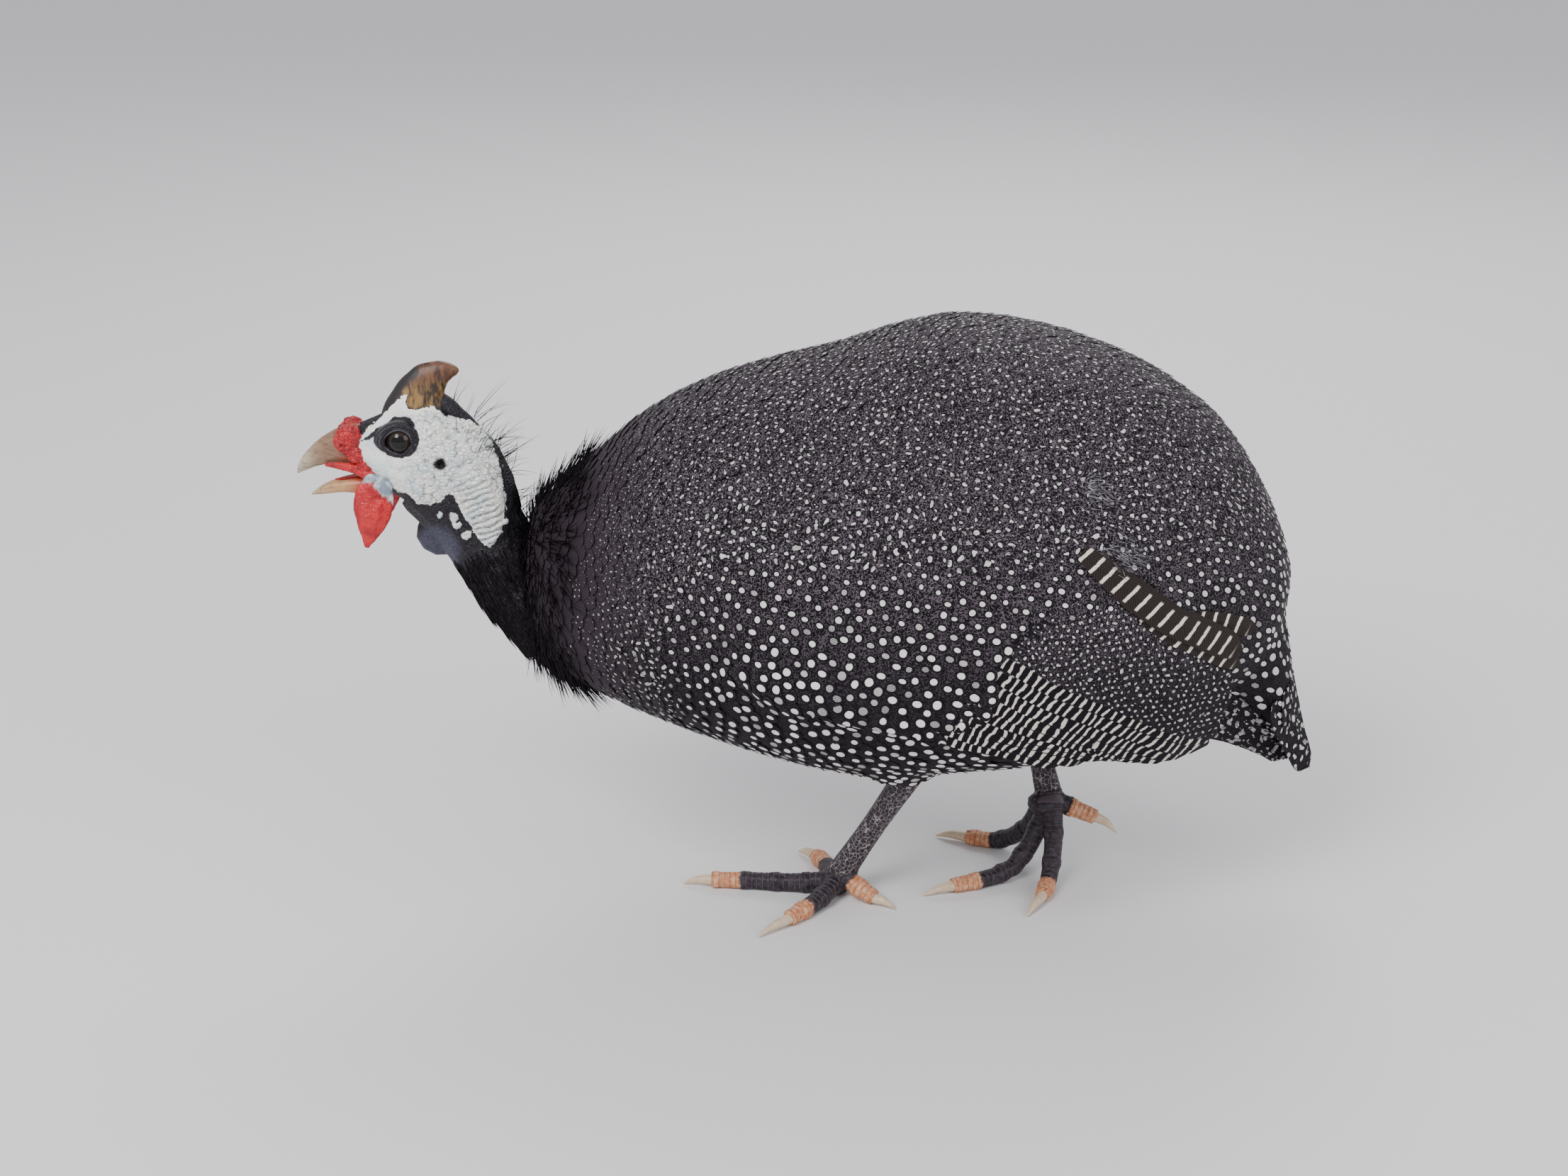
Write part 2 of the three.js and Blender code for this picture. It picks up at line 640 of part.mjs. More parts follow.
for (const [word, side] of [["left", LEFT], ["right", RIGHT]]) {
  const leg = LEGS[word];
  add("eye_" + word, eye(side), "eye", 0.05);
  add("cere_" + word, cere(side).subtract(headAndNeck(GAP)).subtract(billClearance), "red", 0.5);
  add("wattle_" + word, wattle(side).subtract(headAndNeck(GAP)).subtract(billClearance), "red", 0.45);
  add("wing_" + word, wing(side), "plumage", 0.8);

  const shankClearance = shank(leg, GAP);
  const claws = leg.toes.map(({ path, claw: tip }) => claw(path, tip, GAP));
  const foot = joined([footPad(leg), ...leg.toes.map(({ path }) => toe(path))]);
  const thigh = loft(leg.thigh, { around: 14, rings: 8 });
  add("thigh_" + word, thigh.subtract(bodyClearance).subtract(shankClearance), "plumage", 0.9);
  add("shank_" + word, shank(leg).subtract(bodyClearance).subtract(UNDERGROUND), "leg", 0.6);
  add("foot_" + word, foot.subtract(shankClearance).subtract(joined(claws)).subtract(UNDERGROUND), "leg", 0.6);
  leg.toes.forEach(({ path, claw: tip }, i) => {
    const name = "claw_" + word + "_" + ["middle", "outer", "inner", "hind"][i];
    add(name, claw(path, tip).subtract(UNDERGROUND), "claw", 0.5);
  });
}

add("tail", tail(), "plumage", 0.8);

// The origin goes on the floor under the middle of the bounding box.
const bounds = new THREE.Box3().setFromObject(bird);
bird.position.set(-(bounds.min.x + bounds.max.x) / 2, -(bounds.min.y + bounds.max.y) / 2, -bounds.min.z);

export default bird;
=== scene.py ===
import json
import math

import bpy
import numpy as np
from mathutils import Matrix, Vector, noise
from mathutils.bvhtree import BVHTree
from mathutils.kdtree import KDTree

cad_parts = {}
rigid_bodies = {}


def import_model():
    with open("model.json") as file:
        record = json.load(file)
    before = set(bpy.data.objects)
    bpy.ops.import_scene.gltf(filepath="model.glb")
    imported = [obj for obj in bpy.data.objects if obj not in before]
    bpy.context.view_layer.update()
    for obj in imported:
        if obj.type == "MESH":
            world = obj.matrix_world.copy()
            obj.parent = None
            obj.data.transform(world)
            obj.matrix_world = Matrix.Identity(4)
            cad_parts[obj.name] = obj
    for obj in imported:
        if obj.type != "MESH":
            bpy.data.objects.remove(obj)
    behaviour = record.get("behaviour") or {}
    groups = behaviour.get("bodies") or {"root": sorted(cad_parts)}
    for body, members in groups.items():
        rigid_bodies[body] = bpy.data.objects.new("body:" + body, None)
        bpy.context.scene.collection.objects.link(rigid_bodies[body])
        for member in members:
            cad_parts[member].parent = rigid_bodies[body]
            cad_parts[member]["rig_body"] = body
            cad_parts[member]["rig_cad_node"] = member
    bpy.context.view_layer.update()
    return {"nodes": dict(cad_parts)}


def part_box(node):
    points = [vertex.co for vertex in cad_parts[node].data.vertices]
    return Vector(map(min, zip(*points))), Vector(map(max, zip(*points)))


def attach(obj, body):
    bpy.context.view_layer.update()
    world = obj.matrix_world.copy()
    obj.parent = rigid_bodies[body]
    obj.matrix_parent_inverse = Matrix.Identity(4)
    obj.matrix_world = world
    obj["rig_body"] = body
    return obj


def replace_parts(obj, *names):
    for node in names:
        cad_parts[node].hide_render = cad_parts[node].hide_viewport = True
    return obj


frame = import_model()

# Places are written in millimetres, as in the solids: the bird faces -X, its left side is towards -Y.
MM = 0.001
EYE = np.array([-165.0, 9.4, 213.5])
EYE_RADIUS = 6.2
LEFT, RIGHT = -1, 1
SIDES = (("left", LEFT), ("right", RIGHT))


def middle(node):
    low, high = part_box(node)
    return np.array((low + high) / 2) / MM


SHIFT = middle("eye_left") - EYE * (1, LEFT, 1)


def to_frame(points):
    return (np.asarray(points, float) + SHIFT) * MM


def smooth_step(value, low, high):
    share = np.clip((np.asarray(value, float) - low) / (high - low), 0, 1)
    return share * share * (3 - 2 * share)


def unit(vectors):
    vectors = np.asarray(vectors, float)
    return vectors / np.maximum(np.linalg.norm(vectors, axis=-1, keepdims=True), 1e-9)


# Materials


class Value:
    """One number of a material. Sums, products and the like add the nodes that work them out."""

    def __init__(self, look, socket):
        self.look, self.socket = look, socket

    def __add__(self, other):
        return self.look.maths("ADD", self, other)

    def __sub__(self, other):
        return self.look.maths("SUBTRACT", self, other)

    def __rsub__(self, other):
        return self.look.maths("SUBTRACT", other, self)

    def __mul__(self, other):
        return self.look.maths("MULTIPLY", self, other)

    def __truediv__(self, other):
        return self.look.maths("DIVIDE", self, other)

    __radd__ = __add__
    __rmul__ = __mul__

    def least(self, other):
        return self.look.maths("MINIMUM", self, other)

    def size(self):
        return self.look.maths("ABSOLUTE", self)

    def whole(self):
        return self.look.maths("ROUND", self)

    def part(self):
        return self.look.maths("FRACT", self)

    def sine(self):
        return self.look.maths("SINE", self)

    def root(self):
        return self.look.maths("SQRT", self)

    def rise(self, low, high):
        """0 below low, 1 above high and smooth between them; low may be the larger."""
        inputs = {"Value": self, "From Min": low, "From Max": high}
        node = self.look.node("ShaderNodeMapRange", {"interpolation_type": "SMOOTHSTEP"}, inputs)
        return Value(self.look, node.outputs["Result"])


class Look:
    """A material. Its surface is one Principled shader."""

    def __init__(self, name, colour=(0.5, 0.5, 0.5), roughness=0.6, **constants):
        self.material = bpy.data.materials.new(name)
        self.material.use_nodes = True
        self.tree = self.material.node_tree
        self.surface = next(n for n in self.tree.nodes if n.type == "BSDF_PRINCIPLED")
        self.set("Base Color", (*colour, 1))
        self.set("Roughness", roughness)
        for key, value in constants.items():
            self.set(key.replace("_", " "), value)

    def put(self, socket, value):
        if isinstance(value, Value):
            value = value.socket
        if isinstance(value, bpy.types.NodeSocket):
            self.tree.links.new(value, socket)
        else:
            socket.default_value = value

    def set(self, key, value):
        self.put(self.surface.inputs[key], value)

    def node(self, kind, settings=None, inputs=None):
        made = self.tree.nodes.new(kind)
        for key, value in (settings or {}).items():
            setattr(made, key, value)
        for key, value in (inputs or {}).items():
            self.put(made.inputs[key], value)
        return made

    def maths(self, operation, *inputs):
        node = self.node("ShaderNodeMath", {"operation": operation}, dict(enumerate(inputs)))
        return Value(self, node.outputs[0])

    def object_place(self):
        return self.node("ShaderNodeTexCoord").outputs["Object"]

    def scaled(self, place, by):
        node = self.node("ShaderNodeVectorMath", {"operation": "MULTIPLY"}, {0: place, 1: by})
        return node.outputs[0]

    def parts(self, place):
        node = self.node("ShaderNodeSeparateXYZ", {}, {0: place})
        return [Value(self, node.outputs[i]) for i in range(3)]

    def uv(self, name):
        return self.node("ShaderNodeUVMap", {"uv_map": name}).outputs[0]

    def attribute(self, name):
        node = self.node("ShaderNodeAttribute", {"attribute_name": name})
        return Value(self, node.outputs["Fac"])

    def noise(self, place, scale, detail=2.0, roughness=0.5):
        inputs = {"Vector": place, "Scale": scale, "Detail": detail, "Roughness": roughness}
        return Value(self, self.node("ShaderNodeTexNoise", {}, inputs).outputs[0])

    def cells(self, place, scale, feature="F1", randomness=1.0):
        inputs = {"Vector": place, "Scale": scale, "Randomness": randomness}
        node = self.node("ShaderNodeTexVoronoi", {"feature": feature}, inputs)
        return Value(self, node.outputs["Distance"])

    def mix(self, share, low, high):
        """Between two colours, each a triple or an earlier mix."""
        low, high = [(*colour, 1) if isinstance(colour, tuple) else colour for colour in (low, high)]
        node = self.node("ShaderNodeMix", {"data_type": "RGBA"}, {0: share, 6: low, 7: high})
        return node.outputs[2]

    def bump(self, height, distance, strength=1.0):
        inputs = {"Height": height, "Distance": distance, "Strength": strength}
        self.set("Normal", self.node("ShaderNodeBump", {}, inputs).outputs[0])


# Meshes


def give_value(piece, name, row):
    """A value of each point, for a look to read. row may be one number."""
    row = np.zeros(len(piece.data.vertices)) + row
    layer = piece.data.attributes.new(name, "FLOAT", "POINT")
    layer.data.foreach_set("value", row.astype(np.float32))


def dress(piece, look):
    piece.data.materials.append(look.material)
    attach(piece, "root")
    return piece


def mesh_piece(name, points, faces, look, slot, uvs=None, values=None):
    """A piece from points in millimetres and faces of three or four corners."""
    faces = np.asarray(faces, np.int32)
    count, corners = faces.shape
    mesh = bpy.data.meshes.new(name)
    mesh.vertices.add(len(points))
    mesh.loops.add(faces.size)
    mesh.polygons.add(count)
    mesh.vertices.foreach_set("co", to_frame(points).astype(np.float32).ravel())
    mesh.loops.foreach_set("vertex_index", faces.ravel())
    mesh.polygons.foreach_set("loop_start", np.arange(0, faces.size, corners, dtype=np.int32))
    mesh.polygons.foreach_set("loop_total", np.full(count, corners, np.int32))
    mesh.update(calc_edges=True)
    mesh.polygons.foreach_set("use_smooth", np.ones(count, bool))
    for key, flat in (uvs or {}).items():
        layer = mesh.uv_layers.new(name=key)
        layer.data.foreach_set("uv", np.asarray(flat, np.float32)[faces.ravel()].ravel())
    piece = bpy.data.objects.new(name, mesh)
    bpy.context.scene.collection.objects.link(piece)
    for key, row in (values or {}).items():
        give_value(piece, key, row)
    return dress(piece, look)


def only(piece):
    bpy.ops.object.select_all(action="DESELECT")
    piece.select_set(True)
    bpy.context.view_layer.objects.active = piece


def apply_modifier(piece, kind, **settings):
    only(piece)
    modifier = piece.modifiers.new(kind.lower(), kind)
    for key, value in settings.items():
        setattr(modifier, key, value)
    bpy.ops.object.modifier_apply(modifier=modifier.name)


SMOOTHING = 0.5  # how far one round of smoothing moves a point towards its neighbours


def flesh(name, nodes, voxel, rounds, look):
    """One smooth skin over copies of the named solids. voxel is in millimetres."""
    copies = []
    for node in nodes:
        copy = frame["nodes"][node].copy()
        copy.data = copy.data.copy()
        copy.parent = None
        copy.hide_render = copy.hide_viewport = False
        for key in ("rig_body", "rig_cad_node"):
            del copy[key]
        bpy.context.scene.collection.objects.link(copy)
        copies.append(copy)
    bpy.ops.object.select_all(action="DESELECT")
    for copy in copies:
        copy.select_set(True)
    piece = copies[0]
    bpy.context.view_layer.objects.active = piece
    if len(copies) > 1:
        bpy.ops.object.join()
    piece.name = name
    piece.data.name = name
    only(piece)
    bpy.ops.object.mode_set(mode="EDIT")
    bpy.ops.mesh.select_all(action="SELECT")
    bpy.ops.mesh.remove_doubles(threshold=0.01 * MM)
    bpy.ops.object.mode_set(mode="OBJECT")
    piece.data.materials.clear()
    apply_modifier(piece, "REMESH", mode="VOXEL", voxel_size=voxel * MM)
    apply_modifier(piece, "SMOOTH", factor=SMOOTHING, iterations=rounds)
    only(piece)
    bpy.ops.object.shade_smooth()
    return dress(piece, look)


def vertex_rows(piece, key):
    flat = np.empty(len(piece.data.vertices) * 3, np.float32)
    piece.data.vertices.foreach_get(key, flat)
    return flat.reshape(-1, 3).astype(float)


def points_of(piece):
    return vertex_rows(piece, "co") / MM - SHIFT


def normals_of(piece):
    return vertex_rows(piece, "normal")


def move_points(piece, points):
    piece.data.vertices.foreach_set("co", to_frame(points).astype(np.float32).ravel())
    piece.data.update()


def noise_at(points, scale, shift=0.0):
    """Smooth noise from about -1 to 1. scale says how fast it changes, for each millimetre."""
    return np.array([noise.noise(Vector(p)) for p in points * scale + shift])


def along_curve(points, shares):
    """Places on a smooth curve through the points, for shares from 0 to 1."""
    points = np.asarray(points, float)
    if points.ndim == 1:
        points = points[:, None]
    padded = np.vstack([2 * points[0] - points[1], points, 2 * points[-1] - points[-2]])
    t = np.clip(np.asarray(shares, float), 0, 1) * (len(points) - 1)
    i = np.minimum(t.astype(int), len(points) - 2)
    f = (t - i)[:, None]
    a, b, c, d = [padded[i + k] for k in range(4)]
    bend = 2 * a - 5 * b + 4 * c - d
    twist = 3 * b - a - 3 * c + d
    return 0.5 * (2 * b + (c - a) * f + bend * f**2 + twist * f**3)


def along_sections(sections, shares):
    """Centres, ways along, half widths and half heights on a smooth run through sections."""
    centres, wide, tall = [along_curve([section[k] for section in sections], shares) for k in range(3)]
    return centres, unit(np.gradient(centres, axis=0)), wide[:, 0], tall[:, 0]


def tube_faces(rings, around):
    rows = np.arange(rings)[:, None] * around
    here = np.arange(around)[None]
    there = (here + 1) % around
    corners = [rows + here, rows + there, rows + around + there, rows + around + here]
    return np.stack(corners, -1).reshape(-1, 4)


def loft(sections, around, rings, across=(0, 1, 0)):
    """Points and faces of a closed body through sections of (place, half width, half height)."""
    across = np.asarray(across, float)
    centres, run, wide, tall = along_sections(sections, np.linspace(0, 1, rings + 1))
    side = unit(across - run * (run @ across)[:, None])
    up = np.cross(run, side)
    angles = np.arange(around) / around * 2 * math.pi
    ring = (
        centres[:, None]
        + side[:, None] * (wide[:, None] * np.cos(angles))[:, :, None]
        + up[:, None] * (tall[:, None] * np.sin(angles))[:, :, None]
    )
    points = np.vstack([ring.reshape(-1, 3), centres[:1], centres[-1:]])
    quads = tube_faces(rings, around)
    here = np.arange(around)
    there = (here + 1) % around
    last = rings * around
    first_cap = np.stack([np.full(around, last + around), there, here], -1)
    last_cap = np.stack([np.full(around, last + around + 1), last + here, last + there], -1)
    tris = np.vstack([quads[:, [0, 1, 2]], quads[:, [0, 2, 3]], first_cap, last_cap])
    # a body that comes out inside out is turned round
    a, b, c = points[tris].transpose(1, 0, 2)
    if np.einsum("ij,ij->i", a, np.cross(b, c)).sum() < 0:
        tris = tris[:, ::-1]
    return points, tris


def outline_depth(points, outline):
    """How far places (x, z) lie inside a closed outline, in millimetres; less than 0 outside it."""
    points = np.asarray(points, float)
    outline = np.asarray(outline, float)
    nearest = np.full(len(points), 1e9)
    inside = np.zeros(len(points), bool)
    for a, b in zip(outline, np.roll(outline, -1, axis=0)):
        edge = b - a
        share = np.clip(((points - a) @ edge) / (edge @ edge), 0, 1)
        nearest = np.minimum(nearest, np.linalg.norm(points - a - share[:, None] * edge, axis=1))
        crosses = (a[1] > points[:, 1]) != (b[1] > points[:, 1])
        with np.errstate(divide="ignore", invalid="ignore"):
            at_x = a[0] + (points[:, 1] - a[1]) * edge[0] / edge[1] if edge[1] else np.inf
        inside ^= crosses & (points[:, 0] < at_x)
    return np.where(inside, nearest, -nearest)


# Looks

ROW_STEP = 0.866  # between the rows of evenly packed spots, in spot gaps
BAR_STEP = 4.25  # between the bars of a wing feather, in millimetres
LOOSE_BAR_STEP = 6.4  # between the bars of the feathers that stick out
SCUTE_STEP = 2.5  # between the plates on a toe
DARK = (0.006, 0.0045, 0.0065)
GREY = (0.120, 0.097, 0.117)
MANTLE = (0.021, 0.0155, 0.020)
WHITE = (0.80, 0.77, 0.76)
SKIN_WHITE = (0.91, 0.90, 0.86)


def barb_lines(across, along):
    """Fine slanting lines from a feather's shaft to its edges."""
    return (along * 5.2 + across.size() * 3.6).sine()


def ragged_white(look, place):
    """Where the white skin is, and the unevenness of its edge in millimetres."""
    ragged = (look.noise(place, 420.0, 3.0) - 0.5) * 3.4
    return (look.attribute("white") + ragged).rise(-0.2, 0.2), ragged


def plumage_look(name, barred=False):
    """Spotted feathers: white round spots with a dark rim on a finely speckled dark ground."""
    look = Look(name, roughness=0.7, Specular_IOR_Level=0.12)
    place = look.object_place()
    across, along, _ = look.parts(look.uv("Vane"))
    x, y, _ = look.parts(look.uv("Spot"))
    _, _, height = look.parts(place)
    size, many = look.attribute("size"), look.attribute("many")
    plain, bright = look.attribute("plain"), look.attribute("bright")
    wobble = look.noise(place, 420.0) - 0.5
    x = x + (look.noise(place, 190.0) - 0.5) * 1.3 * many
    y = y + (look.noise(look.scaled(place, (1.0, 1.0, -1.0)), 190.0) - 0.5) * 1.3 * many
    row = (y / ROW_STEP).whole()
    shifted = x - row * 0.5
    cell_x = x + many * (shifted - shifted.whole() - x)
    cell_y = y - many * row * ROW_STEP
    away = (cell_x * cell_x + cell_y * cell_y).root() / size + wobble * 0.4
    spot = away.rise(1.06, 0.92)
    rim = away.rise(1.9, 1.3)
    squiggle = (look.noise(place, 760.0, 2.0) - 0.5).size().rise(0.055, 0.02)
    barbs = barb_lines(across, along)
    streak = (across * 8.5 + wobble * 9.0).sine().rise(-0.5, 0.4)
    ground = squiggle * (1.0 - rim) * (height.rise(0.11, 0.18) * 0.85 + 0.15) + barbs.rise(0.3, 1.0) * 0.07
    colour = look.mix(ground, DARK, GREY)
    hair = look.mix(barbs.rise(-0.6, 1.0) * 0.8 + squiggle * 0.2, MANTLE, tuple(c * 2.1 for c in MANTLE))
    colour = look.mix(plain, colour, hair)
    uneven = 1.0 - many * look.noise(look.scaled(place, (1.0, -1.0, 1.0)), 260.0).rise(0.42, 0.72) * 0.7
    spot = spot * (bright + (1.0 - bright) * streak * 0.4) * uneven
    if barred:
        drift = (look.noise(place, 75.0) - 0.5) * 1.6
        bar = ((along / BAR_STEP + across * 0.05 + wobble * 0.3 + drift).part() - 0.5).size()
        outer = across.rise(0.6, -0.6) * across.rise(-8.2, -7.7) * along.rise(3.0, 6.0)
        stripe = bar.rise(0.19, 0.11) * outer
        inner = look.mix(spot * across.rise(-0.5, 0.5), look.mix(outer, colour, DARK), WHITE)
        colour = look.mix(stripe, inner, (0.62, 0.57, 0.52))
    else:
        colour = look.mix(spot, colour, WHITE)
    look.set("Base Color", colour)
    look.bump(barbs * 0.5 + spot * 0.5, 0.00012, 0.6)
    return look


def loose_look():
    """The displaced feathers: brown with cream bars."""
    look = Look("loose barred feather", roughness=0.6, Specular_IOR_Level=0.2)
    place = look.object_place()
    across, along, _ = look.parts(look.uv("Vane"))
    wobble = look.noise(place, 420.0) - 0.5
    bar = ((along / LOOSE_BAR_STEP + across * 0.03 + wobble * 0.12).part() - 0.5).size()
    stripe = bar.rise(0.14, 0.09) * across.rise(4.4, 3.2) * across.rise(-5.4, -4.4) * along.rise(3.0, 6.0)
    barbs = barb_lines(across, along)
    brown = look.mix(barbs.rise(-0.5, 1.0) * 0.5, (0.010, 0.006, 0.005), (0.045, 0.030, 0.025))
    look.set("Base Color", look.mix(stripe, brown, (0.74, 0.68, 0.58)))
    look.bump(barbs, 0.00012, 0.6)
    return look


def hair_look(name, colour):
    look = Look(name, roughness=0.6, Specular_IOR_Level=0.1)
    streak = look.noise(look.scaled(look.object_place(), (700.0, 900.0, 500.0)), 1.0)
    # where the streaks rise the hair is painted four times lighter: painted sheen on the strands
    look.set("Base Color", look.mix(streak.rise(0.35, 0.7), colour, tuple(c * 4.0 for c in colour)))
    return look


def body_skin_look():
    look = Look("plumage skin", roughness=0.8, Specular_IOR_Level=0.1)
    look.set("Base Color", look.mix(look.noise(look.object_place(), 300.0), DARK, (0.022, 0.018, 0.023)))
    return look


def face_look():
    """White wrinkled skin with black patches and painted shade in its creases; the outlines come as depths
    in millimetres.
    """
    look = Look("face skin", roughness=0.55, Specular_IOR_Level=0.25)
    look.set("Subsurface Weight", 0.08)
    look.set("Subsurface Scale", 0.002)
    place = look.object_place()
    white, ragged = ragged_white(look, place)
    brow = (look.attribute("brow") + ragged * 0.5).rise(-0.3, 0.3)
    folds = look.attribute("folds")
    creases = look.cells(look.scaled(place, (1.0, 1.0, 1.5)), 430.0, "DISTANCE_TO_EDGE")
    fine = look.noise(place, 1500.0, 3.0)
    # thin lines along the cells' edges, which mark the creases for painted shade
    crease_shade_mask = (creases + (fine - 0.5) * 0.2).rise(0.16, 0.02) * look.noise(place, 200.0).rise(0.35, 0.6)
    tint = look.noise(place, 120.0)
    pale = look.mix(tint.rise(0.42, 0.66), SKIN_WHITE, (0.72, 0.80, 0.81))
    # painted shade: the creases and the folds' grooves are painted grey on the white skin
    painted_crease_shade = (crease_shade_mask * 0.55 + look.attribute("groove")).least(1.0) * folds
    pale = look.mix(painted_crease_shade * 0.8, pale, (0.20, 0.20, 0.20))
    black = look.mix(fine.rise(0.45, 0.75), (0.010, 0.008, 0.011), (0.045, 0.040, 0.050))
    blue = look.mix(fine, (0.020, 0.019, 0.034), (0.085, 0.084, 0.125))
    black = look.mix(look.attribute("blue"), black, blue)
    colour = look.mix(brow, look.mix(white, black, pale), black)
    # the ear hole is painted near-black: painted shade inside the opening
    look.set("Base Color", look.mix(look.attribute("ear_hole_shade"), colour, (0.012, 0.010, 0.010)))
    height = creases.rise(0.0, 0.25) * 0.8 * folds + fine * 0.35 + white * 0.6
    look.bump(height, 0.0006, 0.9)
    return look


def red_look(name):
    look = Look(name, roughness=0.36, Subsurface_Weight=0.05, Subsurface_Scale=0.0015)
    place = look.object_place()
    tint = look.noise(place, 240.0, 3.0)
    red = look.mix(tint.rise(0.3, 0.7), (0.33, 0.004, 0.010), (0.60, 0.016, 0.018))
    # painted shade: the crevices between the cere's warts are painted dark red
    crevice_shade = look.cells(place, 520.0, "DISTANCE_TO_EDGE").rise(0.16, 0.0) * look.attribute("rough")
    red = look.mix(crevice_shade * 0.7, red, (0.09, 0.002, 0.006))
    pale = look.mix(tint.rise(0.35, 0.6), (0.66, 0.72, 0.72), (0.20, 0.25, 0.32))
    edge = (look.attribute("pale") + (look.noise(place, 520.0) - 0.5) * 3.0).rise(-1.0, 1.0)
    look.set("Base Color", look.mix(edge, red, pale))
    creases = look.cells(look.scaled(place, (1.0, 1.0, 0.55)), 900.0, "DISTANCE_TO_EDGE").rise(0.0, 0.3)
    look.bump(creases + look.noise(place, 1800.0) * 0.4, 0.0003, 0.7)
    return look


def horn_look():
    look = Look("casque horn", roughness=0.45)
    place = look.object_place()
    streak = look.noise(look.scaled(place, (1.0, 1.0, 0.35)), 330.0, 4.0, 0.65)
    _, _, height = look.parts(place)
    high = (height + (look.noise(place, 110.0, 2.0) - 0.5) * 0.008).rise(0.233, 0.240)
    low = look.mix(streak.rise(0.36, 0.62), (0.022, 0.012, 0.008), (0.27, 0.155, 0.050))
    top = look.mix(streak.rise(0.36, 0.66), (0.030, 0.012, 0.008), (0.155, 0.062, 0.026))
    colour = look.mix(high, low, top)
    dark = (look.attribute("dark") + (look.noise(place, 300.0) - 0.5) * 4.0).rise(-1.2, 0.8)
    colour = look.mix(dark, colour, (0.014, 0.010, 0.011))
    white, _ = ragged_white(look, place)
    look.set("Base Color", look.mix(white, colour, SKIN_WHITE))
    look.bump(streak, 0.0003, 0.5)
    return look


def bill_look(name, root, middle_colour, tip):
    """share runs from 0 at the face to 1 at the bill's tip."""
    look = Look(name, roughness=0.38)
    place = look.object_place()
    share = look.attribute("share") + (look.noise(place, 260.0) - 0.5) * 0.16
    colour = look.mix(share.rise(0.28, 0.55), root, middle_colour)
    colour = look.mix(share.rise(0.62, 0.98), colour, tip)
    grain = look.noise(look.scaled(place, (0.25, 1.0, 1.0)), 900.0, 3.0)
    look.set("Base Color", look.mix(grain.rise(0.42, 0.75) * 0.55, colour, (0.075, 0.040, 0.024)))
    look.bump(grain, 0.00015, 0.4)
    return look


def leg_look():
    """Scaled skin: along and round are places on the leg in millimetres."""
    look = Look("leg skin", roughness=0.5, Specular_IOR_Level=0.3)
    place = look.object_place()
    along, round_ = look.attribute("along"), look.attribute("round")
    toes, pale = look.attribute("toes"), look.attribute("pale")
    flat = look.node("ShaderNodeCombineXYZ", {}, {0: along, 1: round_}).outputs[0]
    net = look.cells(flat, 0.50, "DISTANCE_TO_EDGE", 0.7)
    groove = ((along / SCUTE_STEP).part() - 0.5).size().rise(0.36, 0.5)
    seam = net.rise(0.075, 0.02) * (1.0 - toes) + groove * toes * 0.8
    tone = look.noise(place, 500.0, 3.0)
    scale = look.mix(tone.rise(0.35, 0.7), (0.014, 0.010, 0.014), (0.045, 0.035, 0.045))
    line = look.mix(toes, (0.33, 0.29, 0.29), (0.13, 0.10, 0.12))
    colour = look.mix(seam * 0.85, scale, line)
    flesh_tone = look.mix(tone.rise(0.35, 0.7), (0.52, 0.19, 0.085), (0.66, 0.38, 0.23))
    toe_end = look.mix(groove * 0.5, flesh_tone, (0.30, 0.14, 0.09))
    look.set("Base Color", look.mix((pale + (tone - 0.5) * 0.5).rise(0.35, 0.65), colour, toe_end))
    look.bump(1.0 - seam + tone * 0.2, 0.0004, 0.8)
    return look


def claw_look():
    look = Look("claw horn", roughness=0.4)
    place = look.object_place()
    grain = look.noise(place, 420.0, 3.0)
    look.set("Base Color", look.mix(grain, (0.46, 0.30, 0.17), (0.74, 0.62, 0.47)))
    look.bump(grain, 0.0002, 0.4)
    return look


def eye_look():
    look = Look("eye", roughness=0.06, Specular_IOR_Level=0.35)
    ring = look.attribute("ring")
    place = look.object_place()
    iris = look.mix(look.noise(place, 900.0), (0.010, 0.006, 0.005), (0.030, 0.018, 0.013))
    look.set("Base Color", look.mix(ring.rise(0.50, 0.56), (0.002, 0.002, 0.002), iris))
    return look


def lid_look():
    look = Look("lid skin", roughness=0.45, Specular_IOR_Level=0.3)
    place = look.object_place()
    fine = look.noise(place, 1300.0, 2.0)
    # the ridges' crests are painted lighter grey: painted highlight on the lid's ridges
    tone = (fine.rise(0.4, 0.7) * 0.4 + look.attribute("ridge_highlight")).least(1.0)
    look.set("Base Color", look.mix(tone, (0.006, 0.005, 0.007), (0.075, 0.072, 0.085)))
    look.bump(fine, 0.0002, 0.5)
    return look


PLUMAGE = plumage_look("spotted feather")
BARRED = plumage_look("barred feather", barred=True)
BODY_SKIN = body_skin_look()
NECK_HAIR = hair_look("neck feather", (0.004, 0.003, 0.004))
DOWN = hair_look("grey down", (0.09, 0.085, 0.095))
FACE = face_look()
RED = red_look("red skin")
LEG = leg_look()
CLAW = claw_look()
HORN = horn_look()
EYE_LOOK = eye_look()
LID = lid_look()
BILL_TOP = bill_look("upper bill", (0.30, 0.050, 0.030), (0.25, 0.145, 0.085), (0.46, 0.41, 0.29))
BILL_BOTTOM = bill_look("lower bill", (0.55, 0.075, 0.030), (0.55, 0.29, 0.13), (0.46, 0.35, 0.20))
LOOSE = loose_look()

# The body's skin, under the coat

COAT_DEPTH = 2.4
SKIN_VOXEL, SKIN_SMOOTHING = 4.0, 12
COATED = ["torso", "wing_left", "wing_right", "thigh_left", "thigh_right", "tail"]
base = flesh("body_skin", COATED, SKIN_VOXEL, SKIN_SMOOTHING, BODY_SKIN)

